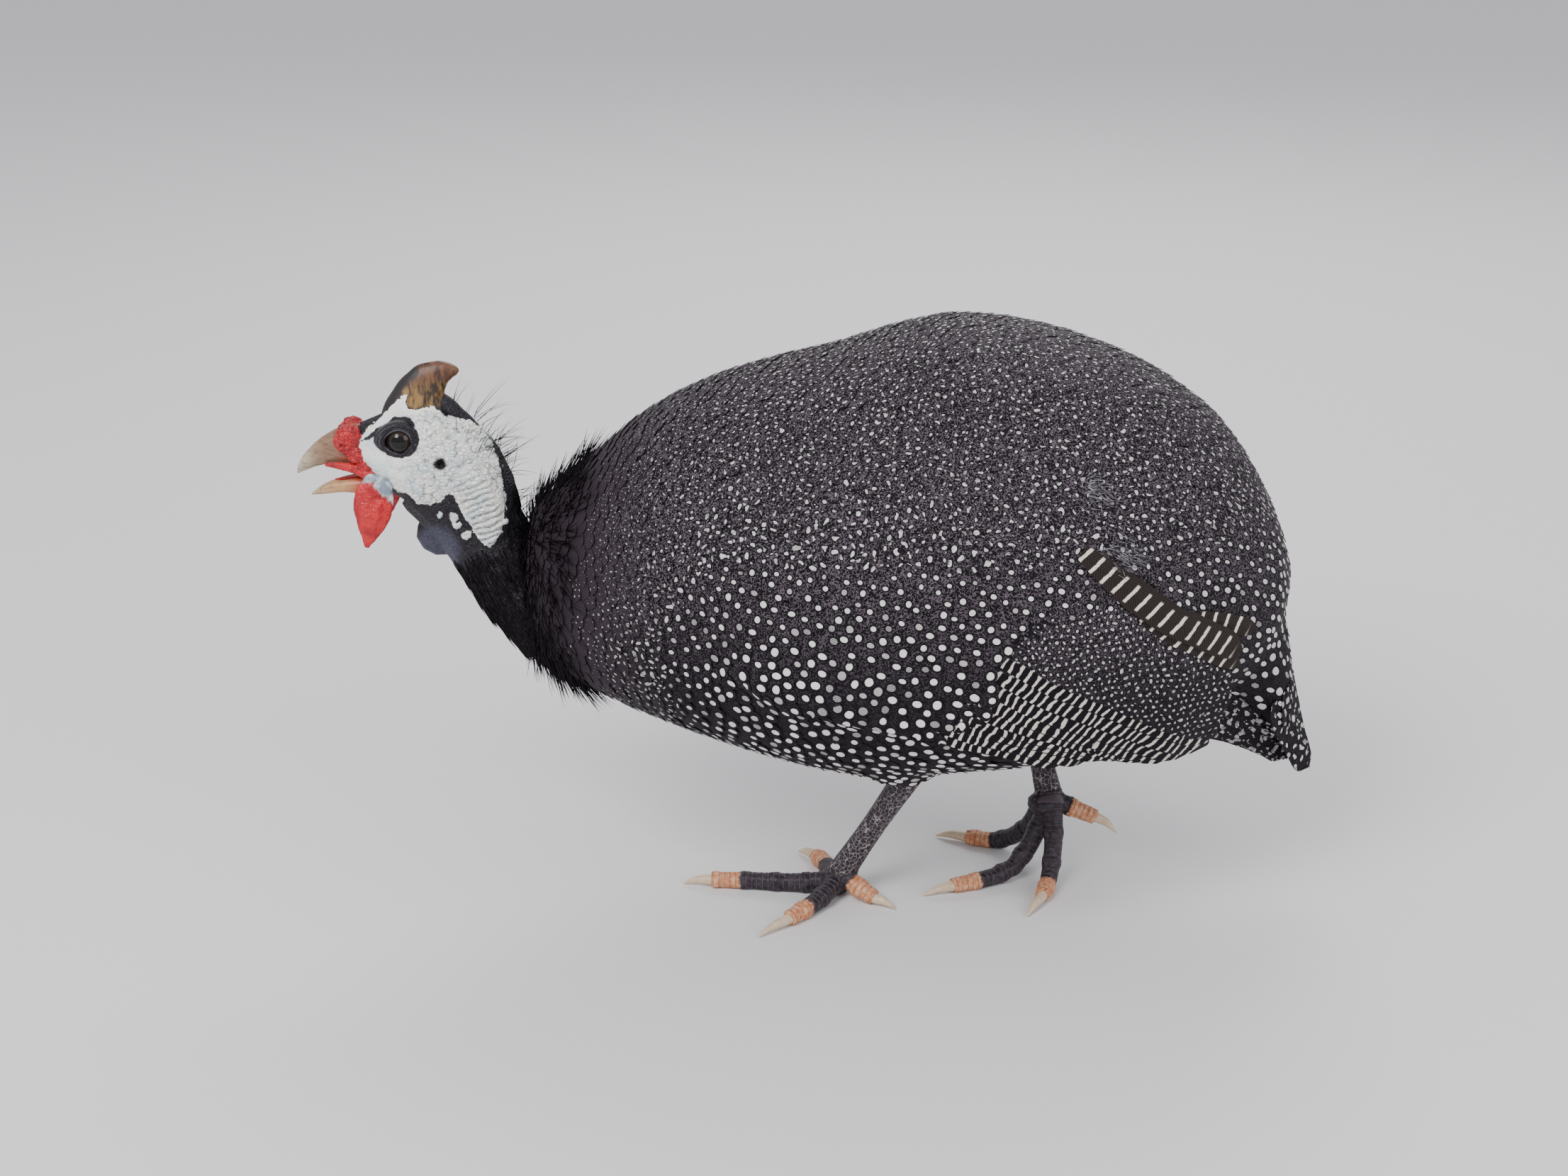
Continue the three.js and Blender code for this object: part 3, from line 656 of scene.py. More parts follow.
# the wings' thin lower edge is rounded off, so that it can carry the coat
LIP_MIDDLE, LIP_REACH, LIP_OUT = (40, 112.5), (52, 14.5), 72
LIP_SMOOTHING = 30
places = points_of(base)
on_lip = (abs(places[:, [0, 2]] - LIP_MIDDLE) < LIP_REACH).all(axis=1) & (abs(places[:, 1]) > LIP_OUT)
base.vertex_groups.new(name="wing lip").add(np.flatnonzero(on_lip).tolist(), 1.0, "REPLACE")
apply_modifier(base, "SMOOTH", factor=SMOOTHING, iterations=LIP_SMOOTHING, vertex_group="wing lip")
move_points(base, points_of(base) - normals_of(base) * COAT_DEPTH)
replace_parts(base, *COATED)
surface = BVHTree.FromObject(base, bpy.context.evaluated_depsgraph_get())


def on_skin(points, flat=surface):
    """The nearest places on the body's skin and the ways out of it there."""
    found = [flat.find_nearest(Vector(p)) for p in to_frame(points)]
    places = np.array([f[0] for f in found]) / MM - SHIFT
    return places, np.array([f[1] for f in found])


# The coat

NECK_BASE = np.array([-118.0, 0.0, 160.0])
TAIL_TIP = np.array([237.0, 0.0, 54.0])
AXIS_HEIGHT = 160.0
rng = np.random.default_rng(5)


def lie(points, normals):
    """The way feathers run: away from the neck and towards the tail's tip."""
    run = unit(points - NECK_BASE) + unit(TAIL_TIP - points)
    thigh = smooth_step(78 - points[:, 2], 0, 12)
    run = run * (1 - thigh[:, None]) + np.array([0.2, 0.0, -1.0]) * thigh[:, None] * 2
    run -= normals * np.einsum("ij,ij->i", run, normals)[:, None]
    return unit(run)


def from_neck(points):
    """How far a place is from the neck's base; the plain mantle reaches further back below."""
    return np.linalg.norm(points - NECK_BASE, axis=1) - 16 * smooth_step(150 - points[:, 2], 0, 50)


def spot_gap(points):
    """How far apart the spots are, in millimetres."""
    low = smooth_step(240 - points[:, 2], 0, 130)
    return (4.0 + 1.6 * low) * (0.6 + 0.4 * smooth_step(from_neck(points), 55, 130))


def feather_gap(points):
    return np.maximum(spot_gap(points), 5.0)


PACKING = 0.88  # share of its gap that a place needs free at first, before the places are evened out
SPACING = 1.05  # share of its gap within which a place is pushed away
NEAR = [(x, y, z) for x in (-1, 0, 1) for y in (-1, 0, 1) for z in (-1, 0, 1)]


def thinned(places, gaps):
    """Which places stay when each has to be clear of every one kept before it."""
    keys = np.floor(places / gaps.max()).astype(int).tolist()
    rows = places.tolist()
    grid, kept = {}, []
    for i, ((x, y, z), (kx, ky, kz)) in enumerate(zip(rows, keys)):
        close = [rows[j] for dx, dy, dz in NEAR for j in grid.get((kx + dx, ky + dy, kz + dz), ())]
        reach = (gaps[i] * PACKING) ** 2
        if all((px - x) ** 2 + (py - y) ** 2 + (pz - z) ** 2 >= reach for px, py, pz in close):
            grid.setdefault((kx, ky, kz), []).append(i)
            kept.append(i)
    return kept


RELAXING = 6  # rounds in which places that are too near push each other away


def scatter(piece, gap, tries, surface_of):
    """Evenly spread places on a piece, gap(places) apart."""
    mesh = piece.data
    mesh.calc_loop_triangles()
    tris = np.empty(len(mesh.loop_triangles) * 3, np.int32)
    mesh.loop_triangles.foreach_get("vertices", tris)
    corners = points_of(piece)[tris.reshape(-1, 3)]
    areas = np.linalg.norm(np.cross(corners[:, 1] - corners[:, 0], corners[:, 2] - corners[:, 0]), axis=1)
    picked = rng.choice(len(corners), tries, p=areas / areas.sum())
    a, b = rng.random(tries), rng.random(tries)
    over = a + b > 1
    a[over], b[over] = 1 - a[over], 1 - b[over]
    c = corners[picked]
    places = c[:, 0] + (c[:, 1] - c[:, 0]) * a[:, None] + (c[:, 2] - c[:, 0]) * b[:, None]
    places = places[thinned(places, gap(places))]
    for _ in range(RELAXING):
        gaps = gap(places)
        tree = KDTree(len(places))
        for i, p in enumerate(places):
            tree.insert(p, i)
        tree.balance()
        push = np.zeros_like(places)
        for i, p in enumerate(places):
            for q, _, far in tree.find_n(p, 7)[1:]:
                if far < gaps[i] * SPACING:
                    push[i] += (p - np.array(q)) / max(far, 1e-3) * (gaps[i] * SPACING - far) * 0.3
        places, normals = surface_of(places + push)
    return places, normals


FEATHER_LENGTH, FEATHER_HALF = 2.9, 0.86  # of a short feather, in gaps
VANE_COLUMNS = np.array([-1.0, -0.55, 0.0, 0.55, 1.0])
VANE_ROWS = np.array([0.0, 0.34, 0.6, 0.8, 0.93, 1.0])


def vane_width(share):
    share = np.asarray(share, float)
    tip = np.sqrt(np.clip(1 - ((share - 0.6) / 0.4) ** 2, 0.015, 1))
    return np.where(share > 0.6, tip, 0.45 + 0.55 * np.sin(share / 0.6 * math.pi / 2))


def grid_faces(rows, columns, count):
    r, c = np.meshgrid(np.arange(rows - 1), np.arange(columns - 1), indexing="ij")
    first = (r * columns + c).ravel()
    quads = np.stack([first, first + 1, first + columns + 1, first + columns], -1)
    return (quads[None] + np.arange(count)[:, None, None] * rows * columns).reshape(-1, 4)


def facing(points, faces, out):
    """The faces, turned round if they face against the ways out at the points."""
    a, b, c = points[faces[:, :3]].transpose(1, 0, 2)
    inward = np.einsum("ij,ij->", np.cross(b - a, c - a), out[faces[:, 0]]) < 0
    return faces[:, ::-1] if inward else faces


AROUND_RADIUS = 90.0
COAT_ENDS = (-135, 228)
BAKE_ROOM, BAKE_EDGE, BAKE_PATCH = 1.04, 0.02, 0.85


def unwrap(places):
    """Places along the body and around it, in millimetres, as if the skin were rolled out flat."""
    angle = np.arctan2(places[:, 1], places[:, 2] - AXIS_HEIGHT)
    return np.stack([places[:, 0], angle * AROUND_RADIUS], -1)


def coat_markings(places, gaps):
    """Values of each short feather, and how far apart its spots are."""
    count = len(places)
    spots = spot_gap(places)
    low = smooth_step(225 - places[:, 2], 0, 110)
    far = from_neck(places) + rng.normal(0, 4, count)
    grow = smooth_step(far, 62, 135)
    dim = rng.random(count) < 0.34 * low
    bright = np.where(dim, rng.uniform(0.1, 0.45, count), 0.62 + 0.38 * low) * (0.3 + 0.7 * grow)
    bright *= 1 - 0.3 * smooth_step(places[:, 0], 140, 200)
    size = (0.165 + 0.145 * low) * rng.uniform(0.82, 1.14, count) * (0.5 + 0.5 * grow)
    size *= smooth_step(far, 60, 70)
    many = (spots < gaps * 0.93).astype(float)
    plain = smooth_step(98 - far, 0, 34)
    return {"size": np.maximum(size, 0.01), "many": many, "plain": plain, "bright": bright}, spots


def feathers(name, places, normals, gaps, reach):
    """Short round-ended feathers laid over the skin, with the tip of each at its place."""
    count = len(places)
    run = lie(places, normals)
    run = unit(run + np.cross(normals, run) * rng.normal(0, 0.09, count)[:, None])
    across = np.cross(normals, run)
    length = gaps * FEATHER_LENGTH * rng.uniform(0.93, 1.07, count)
    u, v = [grid.ravel() for grid in np.meshgrid(VANE_COLUMNS, VANE_ROWS)]
    sideways = u * vane_width(v)
    vane = np.stack([sideways[None] * gaps[:, None] * FEATHER_HALF, (1 - v)[None] * length[:, None]], -1)
    flat = places[:, None] + across[:, None] * vane[..., :1] - run[:, None] * vane[..., 1:]
    laid, out = on_skin(flat.reshape(-1, 3))
    lift = 0.15 + 1.5 * v**1.4 - 0.3 * sideways**2 * v
    lift = lift[None] + rng.normal(0, 0.1, count)[:, None] * v[None]
    points = laid + out * lift.reshape(-1, 1)
    faces = facing(points, grid_faces(len(VANE_ROWS), len(VANE_COLUMNS), count), out)
    values, spots = coat_markings(places, gaps)
    centre = np.where(values["many"] > 0, 0.45 * spots, 0.5 * gaps) / spots
    spot = vane / spots[:, None, None] + rng.normal(0, 0.07, (count, 2))[:, None]
    spot[:, :, 1] -= centre[:, None]
    stretch = rng.uniform(0.85, 1.25, count) + 0.25 * smooth_step(places[:, 0], 150, 200)
    spot *= np.stack([stretch, 1 / (0.5 + 0.5 * stretch)], -1)[:, None]
    spread = unwrap(places)
    if reach[1][1] > math.pi * AROUND_RADIUS:
        spread[:, 1] += (spread[:, 1] < 0) * 2 * math.pi * AROUND_RADIUS
    patch = np.stack([v - 0.5, u * 0.5], -1)[None] * (gaps * BAKE_PATCH)[:, None, None]
    bake = (spread[:, None] + patch - reach[0]) / ((reach[1] - reach[0]) * BAKE_ROOM) + BAKE_EDGE
    maps = {key: rows.reshape(-1, 2) for key, rows in (("Vane", vane), ("Spot", spot), ("OFBake", bake))}
    values = {key: np.repeat(row, len(u)) for key, row in values.items()}
    mesh_piece(name, points, faces, PLUMAGE, "plumage", maps, values)


QUILLS_SHOW = [(90, 98), (88, 144), (106, 162), (142, 162), (173, 150), (191, 132), (191, 86), (90, 86)]
places, normals = scatter(base, feather_gap, 60000, on_skin)
on_quills = (outline_depth(places[:, [0, 2]], QUILLS_SHOW) > 0) & (abs(places[:, 1]) > 42)
on_tail_end = (places[:, 2] < 84) & (places[:, 0] > 212)
gaps = feather_gap(places)
_, root_out = on_skin(places - lie(places, normals) * gaps[:, None] * FEATHER_LENGTH)
folded = (np.einsum("ij,ij->i", root_out, normals) < 0.35) & (places[:, 2] > 95) & (places[:, 0] < 100)
keep = ~(on_quills | on_tail_end | folded)
places, normals, gaps = places[keep], normals[keep], gaps[keep]
angle = np.degrees(np.arctan2(places[:, 1], places[:, 2] - AXIS_HEIGHT))
# the coat's pieces, each between two angles round the body, in degrees from straight up
SECTORS = (
    ("coat_back", -52, 52),
    ("coat_left", -125, -52),
    ("coat_right", 52, 125),
    ("coat_belly", 125, 235),
)
for name, low, high in SECTORS:
    turned = np.where((angle < 0) & (high > 180), angle + 360, angle)
    pick = (turned >= low) & (turned < high)
    reach = np.stack([COAT_ENDS, np.radians([low, high]) * AROUND_RADIUS], -1)
    feathers(name, places[pick], normals[pick], gaps[pick], reach)

# The wings' long feathers, laid on the same curve as the solids' wings

# the solids' torso: place along it, top, bottom and half width
TORSO = np.array([
    (-119, 152, 148, 1), (-112, 180, 116, 26), (-92, 197, 102, 50), (-60, 224, 88, 70),
    (-20, 242, 74, 84), (25, 253, 62, 92), (70, 266, 62, 94), (115, 261, 66, 90),
    (160, 244, 78, 78), (195, 217, 98, 58), (216, 181, 118, 36), (226, 152, 148, 1),
], float)
WAIST, POWER, WING_DROP = 0.47, 2.25, 18.0


def half_width(x, z):
    top, bottom, half = [np.interp(x, TORSO[:, 0], TORSO[:, k]) for k in (1, 2, 3)]
    waist = bottom + (top - bottom) * WAIST
    reach = np.where(z > waist, top - waist, waist - bottom + WING_DROP)
    height = np.clip(abs(z - waist) / reach, 0, 1)
    return half * (1 - height**POWER) ** (1 / POWER)


def on_wing(side, flat):
    """Places on the wing's inner curve and the ways out of it, from places (x, z)."""
    x, z = flat[:, 0], flat[:, 1]
    slope_x = (half_width(x + 3, z) - half_width(x - 3, z)) / 6
    slope_z = (half_width(x, z + 3) - half_width(x, z - 3)) / 6
    out = unit(np.stack([-slope_x, np.ones(len(x)), -slope_z], -1)) * (1, side, 1)
    return np.stack([x, half_width(x, z) * side, z], -1), out


LONG_COLUMNS = np.array([-1.0, -0.72, -0.4, -0.09, 0.0, 0.09, 0.4, 0.72, 1.0])
LONG_ROWS = 22
CUP_RADIUS = 190.0  # how flat a vane is across: its edges fall by the square of their place over this


def long_shape(share):
    tip = np.sqrt(np.clip(1 - ((share - 0.86) / 0.14) ** 2, 0.01, 1))
    return np.where(share > 0.86, tip, 0.5 + 0.5 * np.sin(np.minimum(share / 0.35, 1) * math.pi / 2))


def long_feather(centres, out, half, lifts, tilt, gap, size):
    """One long vane along centres, facing out. gap and size are its spots'."""
    share = np.linspace(0, 1, len(centres))[:, None]
    run = unit(np.gradient(centres, axis=0))
    across = unit(np.cross(out, run))
    if across[:, 2].sum() < 0:
        across = -across
    wide = long_shape(share) * half * LONG_COLUMNS
    shaft = np.exp(-((LONG_COLUMNS / 0.07) ** 2)) * 0.35 * (1 - 0.6 * share)
    lift = lifts[0] + (lifts[1] - lifts[0]) * share - tilt * wide - wide**2 / CUP_RADIUS + shaft
    lift = lift + rng.normal(0, 0.06, wide.shape)
    points = centres[:, None] + across[:, None] * wide[:, :, None] + out[:, None] * lift[:, :, None]
    length = np.linalg.norm(np.diff(centres, axis=0), axis=1).sum()
    ones = np.ones(wide.shape)
    vane = np.stack([wide, (1 - share) * length * ones], -1).reshape(-1, 2)
    strip = np.stack([(LONG_COLUMNS + 1) / 2 * ones, share * ones], -1).reshape(-1, 2)
    facing_out = np.tile(out.mean(0), (wide.size, 1))
    return points.reshape(-1, 3), facing_out, vane, vane / gap - (0, 0.6), strip, np.full(wide.size, size)


def long_piece(name, made, look, bright=0.62):
    """Joins long vanes into one piece, each with its own strip of the bake map."""
    grid = grid_faces(LONG_ROWS, len(LONG_COLUMNS), 1)
    faces = [facing(vane[0], grid, vane[1]) + i * len(vane[0]) for i, vane in enumerate(made)]
    points, _, vanes, spots, strips, sizes = [np.concatenate(rows) for rows in zip(*made)]
    number = np.repeat(np.arange(len(made)), LONG_ROWS * len(LONG_COLUMNS))[:, None]
    bake = (strips * (0.86, 0.96) + number * (1, 0) + (0.07, 0.02)) / (len(made), 1)
    maps = {"Vane": vanes, "Spot": spots, "OFBake": bake}
    values = {"size": sizes, "many": 1, "plain": 0, "bright": bright}
    mesh_piece(name, points, np.vstack(faces), look, "plumage", maps, values)


def wing_feather(side, root, tip, half, lifts, tilt=0.1, bow=0.0, gap=4.6, size=0.2):
    """A vane on the wing's curve. root and tip are places seen from the side."""
    share = np.linspace(0, 1, LONG_ROWS)[:, None]
    root, tip = np.asarray(root, float), np.asarray(tip, float)
    flat = root + (tip - root) * share
    flat[:, 1] += bow * np.sin(share[:, 0] * math.pi)
    places, out = on_wing(side, flat)
    return long_feather(places, out, half, lifts, tilt, gap, size)


SECONDARY_ROOTS = [(60, 116), (74, 130), (90, 152), (112, 172)]
SECONDARY_TIPS = [(118, 99.5), (148, 97), (176, 93), (184, 106), (186, 132)]
SECONDARIES = 14
FIRST_TERTIAL = 9
for word, side in SIDES:
    barred, spotted = [], []
    for i in range(SECONDARIES):
        share = i / (SECONDARIES - 1)
        root = along_curve(SECONDARY_ROOTS, [share])[0]
        tip = along_curve(SECONDARY_TIPS, [share])[0] + rng.normal(0, 0.8, 2)
        lifts = (4.0, 5.8 + 0.1 * i)
        if i < FIRST_TERTIAL:
            barred.append(wing_feather(side, root, tip, 8.4, lifts, 0.11, 2.0, gap=3.8, size=0.22))
        else:
            spotted.append(wing_feather(side, root, tip, 8.8, lifts, 0.1, 2.0, gap=3.3, size=0.19))
    long_piece("secondaries_" + word, barred, BARRED)
    long_piece("tertials_" + word, spotted, PLUMAGE, 0.5)

# Barred feathers that stick out over the left wing
loose = [
    wing_feather(LEFT, (118, 190), (186, 141), 6.6, (6.0, 9.5), 0.02, -3.0),
    wing_feather(LEFT, (140, 166), (187, 134), 3.8, (5.5, 8.4), 0.02, -2.0),
    wing_feather(LEFT, (158, 158), (193, 148), 3.8, (5.5, 8.0), 0.1, 2.0),
]
long_piece("loose_feathers", loose, LOOSE)

# The tail's long feathers, laid on the same curve as the solids' tail

SIDEWAYS = np.array([0, 1, 0])
TAIL = [
    ((172, 0, 160), 44, 34),
    ((190, 0, 135), 42, 33),
    ((206, 0, 110), 34, 24),
    ((220, 0, 86), 23, 13),
    ((229, 0, 70), 13, 6),
    ((233, 0, 62), 5, 2.5),
]
TAIL_SPREAD, TAIL_HALF, TAIL_BEYOND = 4.6, 6.4, 9


def tail_feather(place):
    """One of the tail's feathers, counted out from the middle one, which is 0."""
    centre, run, wide, tall = along_sections(TAIL, np.linspace(0.5, 1.0 - 0.036 * abs(place), LONG_ROWS))
    up = np.stack([-run[:, 2], np.zeros(len(run)), run[:, 0]], -1)
    off = place * np.linspace(TAIL_SPREAD, TAIL_SPREAD * 0.62, LONG_ROWS)
    height = tall * np.sqrt(np.clip(1 - (off / wide) ** 2, 0.02, 1))
    beyond = np.linspace(0, 1, LONG_ROWS) ** 3 * TAIL_BEYOND
    points = centre + SIDEWAYS * off[:, None] + up * height[:, None] + run * beyond[:, None]
    out = unit(up + SIDEWAYS * (off / wide)[:, None] * 0.8)
    lifts = (-2.0, 0.6 - 0.12 * abs(place))
    return long_feather(points, out, TAIL_HALF, lifts, 0.08 if place > 0 else -0.08, 5.2, 0.22)


outer_first = sorted(range(-6, 7), key=lambda place: -abs(place))
long_piece("tail_feathers", [tail_feather(place) for place in outer_first], PLUMAGE)

UNDER = [
    ((160, 0, 112), 38, 36),
    ((185, 0, 100), 32, 27),
    ((205, 0, 86), 22, 15),
    ((222, 0, 72), 12, 6),
    ((231, 0, 63), 6, 3),
]
UNDER_ROWS = ((0.34, 1.0), (0.16, 0.82), (0.0, 0.62))


def under_feather(turn, start, end, half):
    """A feather below the tail, turned so many degrees from straight down."""
    centre, run, wide, tall = along_sections(UNDER, np.linspace(start, end, LONG_ROWS))
    down = np.stack([run[:, 2], np.zeros(len(run)), -run[:, 0]], -1) * math.cos(math.radians(turn))
    sideways = SIDEWAYS * math.sin(math.radians(turn))
    points = centre + sideways * wide[:, None] + down * tall[:, None]
    return long_feather(points, unit(sideways + down), half, (0.0, 1.5), 0.03, 6.0, 0.27)


under = []
for row, (start, end) in enumerate(UNDER_ROWS):
    for turn in range(-112 + 8 * (row % 2), 113, 16):
        under.append(under_feather(turn, start, end - 0.0009 * abs(turn), 8.0 - row))
long_piece("under_tail", under, PLUMAGE, 0.4)

# Head and neck: one skin

EAR = np.array([-147.5, 16.8, 204.5])
FACE_OUTLINE = [
    (-182, 217), (-177, 222.5), (-168, 231), (-162, 236), (-161.5, 229), (-156, 228.5), (-151, 230),
    (-145.5, 225), (-141, 228.5), (-134, 223), (-128, 216.5), (-125, 209), (-122.6, 202.7), (-121.2, 190.5),
    (-120.7, 182.3), (-122, 173), (-127.3, 166.5), (-132.7, 169), (-134.4, 174), (-138.5, 180),
    (-142.3, 190.5), (-145.8, 189.5), (-149, 186.4), (-155, 185.5), (-159.3, 186), (-161.4, 190.5),
    (-166, 191), (-172, 194), (-182, 198), (-188, 206), (-188, 214),
]
BROW_OUTLINE = [
    (-183, 213.8), (-180, 216), (-175.3, 219.7), (-170.5, 222.5), (-167, 226.5), (-160.3, 224.8),
    (-157.6, 221), (-161, 219), (-170.7, 218.2), (-175.4, 216.4),
]
# small white knobs under the cheek: (x, z, radius)
WHITE_BUMPS = [
    (-149, 181, 1.3), (-142.8, 180, 2.0), (-141.7, 176.3, 1.6), (-138, 171.9, 2.2), (-121, 178, 1.2),
]
NECK_LINE = [(-150, 0, 200), (-142, 0, 189), (-132, 0, 168), (-117, 0, 145), (-92, 0, 132), (-60, 0, 130)]
NAPE_TOP, NAPE_FOOT = np.array([-139, 206.0]), np.array([-124, 167.0])
NAPE_FOLD = 2.7  # from one fold of the nape's pad to the next
EYE_PATCH, EYE_PATCH_BELOW = 8.9, 6.8  # reach of the black round the eye


def from_side(points, place):
    """How far points are from a place, seen from the side."""
    return np.linalg.norm((points - place) * (1, 0, 1), axis=1)


def as_seen(points):
    """Places (x, z) to hold against the face's outlines, which are drawn on the cheek's plane."""
    return np.stack([points[:, 0], points[:, 2] + 0.31 * (14 - abs(points[:, 1]))], -1)


head = flesh("head_skin", ["head", "neck"], 0.75, 3, FACE)
points, out = points_of(head), normals_of(head)
flat = as_seen(points)
face_depth = outline_depth(flat, FACE_OUTLINE)
bumps = np.array([r - np.linalg.norm(flat - (x, z), axis=1) for x, z, r in WHITE_BUMPS])
face_depth = np.maximum(face_depth, bumps.max(axis=0))
axis = (NAPE_FOOT - NAPE_TOP) / np.linalg.norm(NAPE_FOOT - NAPE_TOP)
along = (flat - NAPE_TOP) @ axis
off = abs((flat - NAPE_TOP) @ (axis[1], -axis[0]))
on_nape = smooth_step(9 - off, 0, 4) * smooth_step(along, 6, 12) * smooth_step(face_depth, -0.5, 1.5)
ear_far, eye_far = from_side(points, EAR), from_side(points, EYE)
wrinkle = noise_at(points, (0.20, 0.20, 0.26))
fine = noise_at(points, (0.42, 0.42, 0.62), 7.0)
folds = smooth_step(points[:, 0], -172, -152) * 0.75 + 0.25
fold = np.sin(along * 2 * math.pi / NAPE_FOLD + 2.6 * wrinkle)
relief = 0.85 * np.minimum(abs(wrinkle) * 4.5, 1) + 0.6 * np.minimum(abs(fine) * 4.5, 1) - 0.5
swell = on_nape * (0.65 * fold + 0.35)
swell += smooth_step(face_depth, -0.3, 1.2) * relief * folds * (1 - 0.6 * on_nape)
swell += 0.9 * np.exp(-(((ear_far - 3.8) / 1.1) ** 2))
swell += 0.8 * smooth_step(bumps, -0.6, 0.8).sum(axis=0)
swell *= smooth_step(eye_far, 7.5, 11)
move_points(head, points + out * swell[:, None])
below_eye = np.clip((EYE[2] - points[:, 2]) / eye_far, 0, 1)
eye_patch = EYE_PATCH + (EYE_PATCH_BELOW - EYE_PATCH) * below_eye - eye_far
# groove holds the troughs of the nape's folds and the wrinkle lines, where the face look paints shade
groove = on_nape * smooth_step(-fold, 0.35, 0.95)
groove = np.maximum(groove, smooth_step(0.06 - abs(wrinkle), 0, 0.05) * (1 - on_nape))
give_value(head, "white", face_depth)
give_value(head, "brow", np.maximum(outline_depth(flat, BROW_OUTLINE), eye_patch))
# the ear hole, which the face look paints near-black as painted shade
give_value(head, "ear_hole_shade", smooth_step(2.9 - ear_far, -0.4, 0.4))
give_value(head, "blue", smooth_step(13 - np.linalg.norm(flat - (-152, 165), axis=1), 0, 5))
give_value(head, "folds", folds)
give_value(head, "groove", groove)
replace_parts(head, "head", "neck")

# Eyes and lids


LID_PROFILE = [
    (4.6, 12.2), (4.9, 13.3), (5.3, 13.9), (5.7, 13.6), (6.0, 13.5), (6.4, 14.0), (6.8, 13.7),
    (7.2, 13.4), (7.6, 13.7), (8.0, 13.3), (8.6, 12.0), (8.9, 9.5), (4.8, 9.5), (4.6, 12.2),
]
# how much lighter each ring of the lid profile is painted: painted highlight on the ridges' crests
LID_RIDGE_HIGHLIGHT = [0, 0.1, 0.9, 0.1, 0, 0.6, 0.1, 0, 0.5, 0.1, 0, 0, 0, 0]
LID_CORNERS = 56
LID_REACH = 0.3  # how much wider the lids are towards the bill
LOWER_LID = 0.55  # how much narrower the lower lid is


def lid_ring(side):
    """The ring of lid skin round an eye. Its profile is (radius, distance from the middle plane)."""
    profile = np.asarray(LID_PROFILE, float)
    angles = np.arange(LID_CORNERS) / LID_CORNERS * 2 * math.pi
    front = np.clip(-np.cos(angles), 0, 1) ** 3 * LID_REACH
    low = np.clip(-np.sin(angles), 0, 1)
    radius = profile[:, :1] * (1 + front) - low * LOWER_LID * np.maximum(profile[:, :1] - 5.0, 0)
    x = EYE[0] + radius * np.cos(angles)
    z = EYE[2] + radius * np.sin(angles) * (1 - 0.5 * front) - front * radius * 0.05
    y = np.broadcast_to(profile[:, 1:], x.shape) * side
    quads = tube_faces(len(profile) - 1, LID_CORNERS)
    return np.stack([x, y, z], -1).reshape(-1, 3), quads if side == LEFT else quads[:, ::-1]


def eye_ball(side):
    turns = np.linspace(0, math.pi, 15)
    wide = np.maximum(EYE_RADIUS * np.sin(turns), 0.02)
    out = (EYE[1] + EYE_RADIUS * np.cos(turns)) * side
    return loft([((EYE[0], y, EYE[2]), r, r) for y, r in zip(out, wide)], 40, 28, (1, 0, 0))


for word, side in SIDES:
    points, faces = eye_ball(side)
    ring = np.where(points[:, 1] * side > EYE[1], from_side(points, EYE) / EYE_RADIUS, 1.0)
    eyeball = mesh_piece("eyeball_" + word, points, faces, EYE_LOOK, "eye", values={"ring": ring})
    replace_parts(eyeball, "eye_" + word)
    points, faces = lid_ring(side)
    ridge_highlight = np.repeat(LID_RIDGE_HIGHLIGHT, LID_CORNERS)
    mesh_piece("lids_" + word, points, faces, LID, "face_skin", values={"ridge_highlight": ridge_highlight})

# Casque, bill and tongue

CASQUE = [
    ((-158.5, 0, 216), 6.6, 17.5),
    ((-159, 0, 222), 6.5, 15.2),
    ((-157.8, 0, 227.6), 6.1, 12.6),
    ((-155.6, 0, 233), 5.4, 10.4),
    ((-152, 0, 237.6), 4.8, 8.4),
    ((-147.4, 0, 240.6), 4.0, 5.6),
    ((-143.4, 0, 241.6), 3.0, 3.6),
    ((-140.6, 0, 241.4), 1.5, 1.7),
    ((-139.8, 0, 241.2), 0.2, 0.2),
]
CASQUE_FRONT = [(-173, 223), (-169, 230), (-165.7, 235), (-159.1, 242.2)]
points, faces = loft(CASQUE, 40, 40)
front = along_curve(CASQUE_FRONT, np.linspace(0, 1, 30))
to_front = np.linalg.norm(points[:, None, [0, 2]] - front, axis=2).min(axis=1)
dark = np.maximum(2.6 - to_front, 226.5 - points[:, 2])
rough = noise_at(points, (0.25, 0.25, 0.12))
points = points + unit(points - (-155, 0, 228)) * (rough * 0.35)[:, None]
white = outline_depth(as_seen(points), FACE_OUTLINE)
points = points + unit((points - (-155, 0, 0)) * (1, 1, 0)) * (smooth_step(white, -0.4, 0.8) * 0.5)[:, None]
casque = mesh_piece("casque_horn", points, faces, HORN, "horn", values={"dark": dark, "white": white})
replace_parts(casque, "casque")
CASQUE_FOOT = [
    ((-149.5, 0, 229.5), 2.2, 3.4),
    ((-145.5, 0, 226.0), 3.6, 3.9),
    ((-141, 0, 222.2), 3.6, 3.2),
    ((-136, 0, 218.4), 2.6, 2.4),
    ((-132, 0, 215.5), 0.5, 0.5),
]
OUTSIDE = -9.0  # a depth that is far outside a patch of colour
points, faces = loft(CASQUE_FOOT, 24, 24)
mesh_piece("casque_foot", points, faces, FACE, "face_skin", values={"white": OUTSIDE})

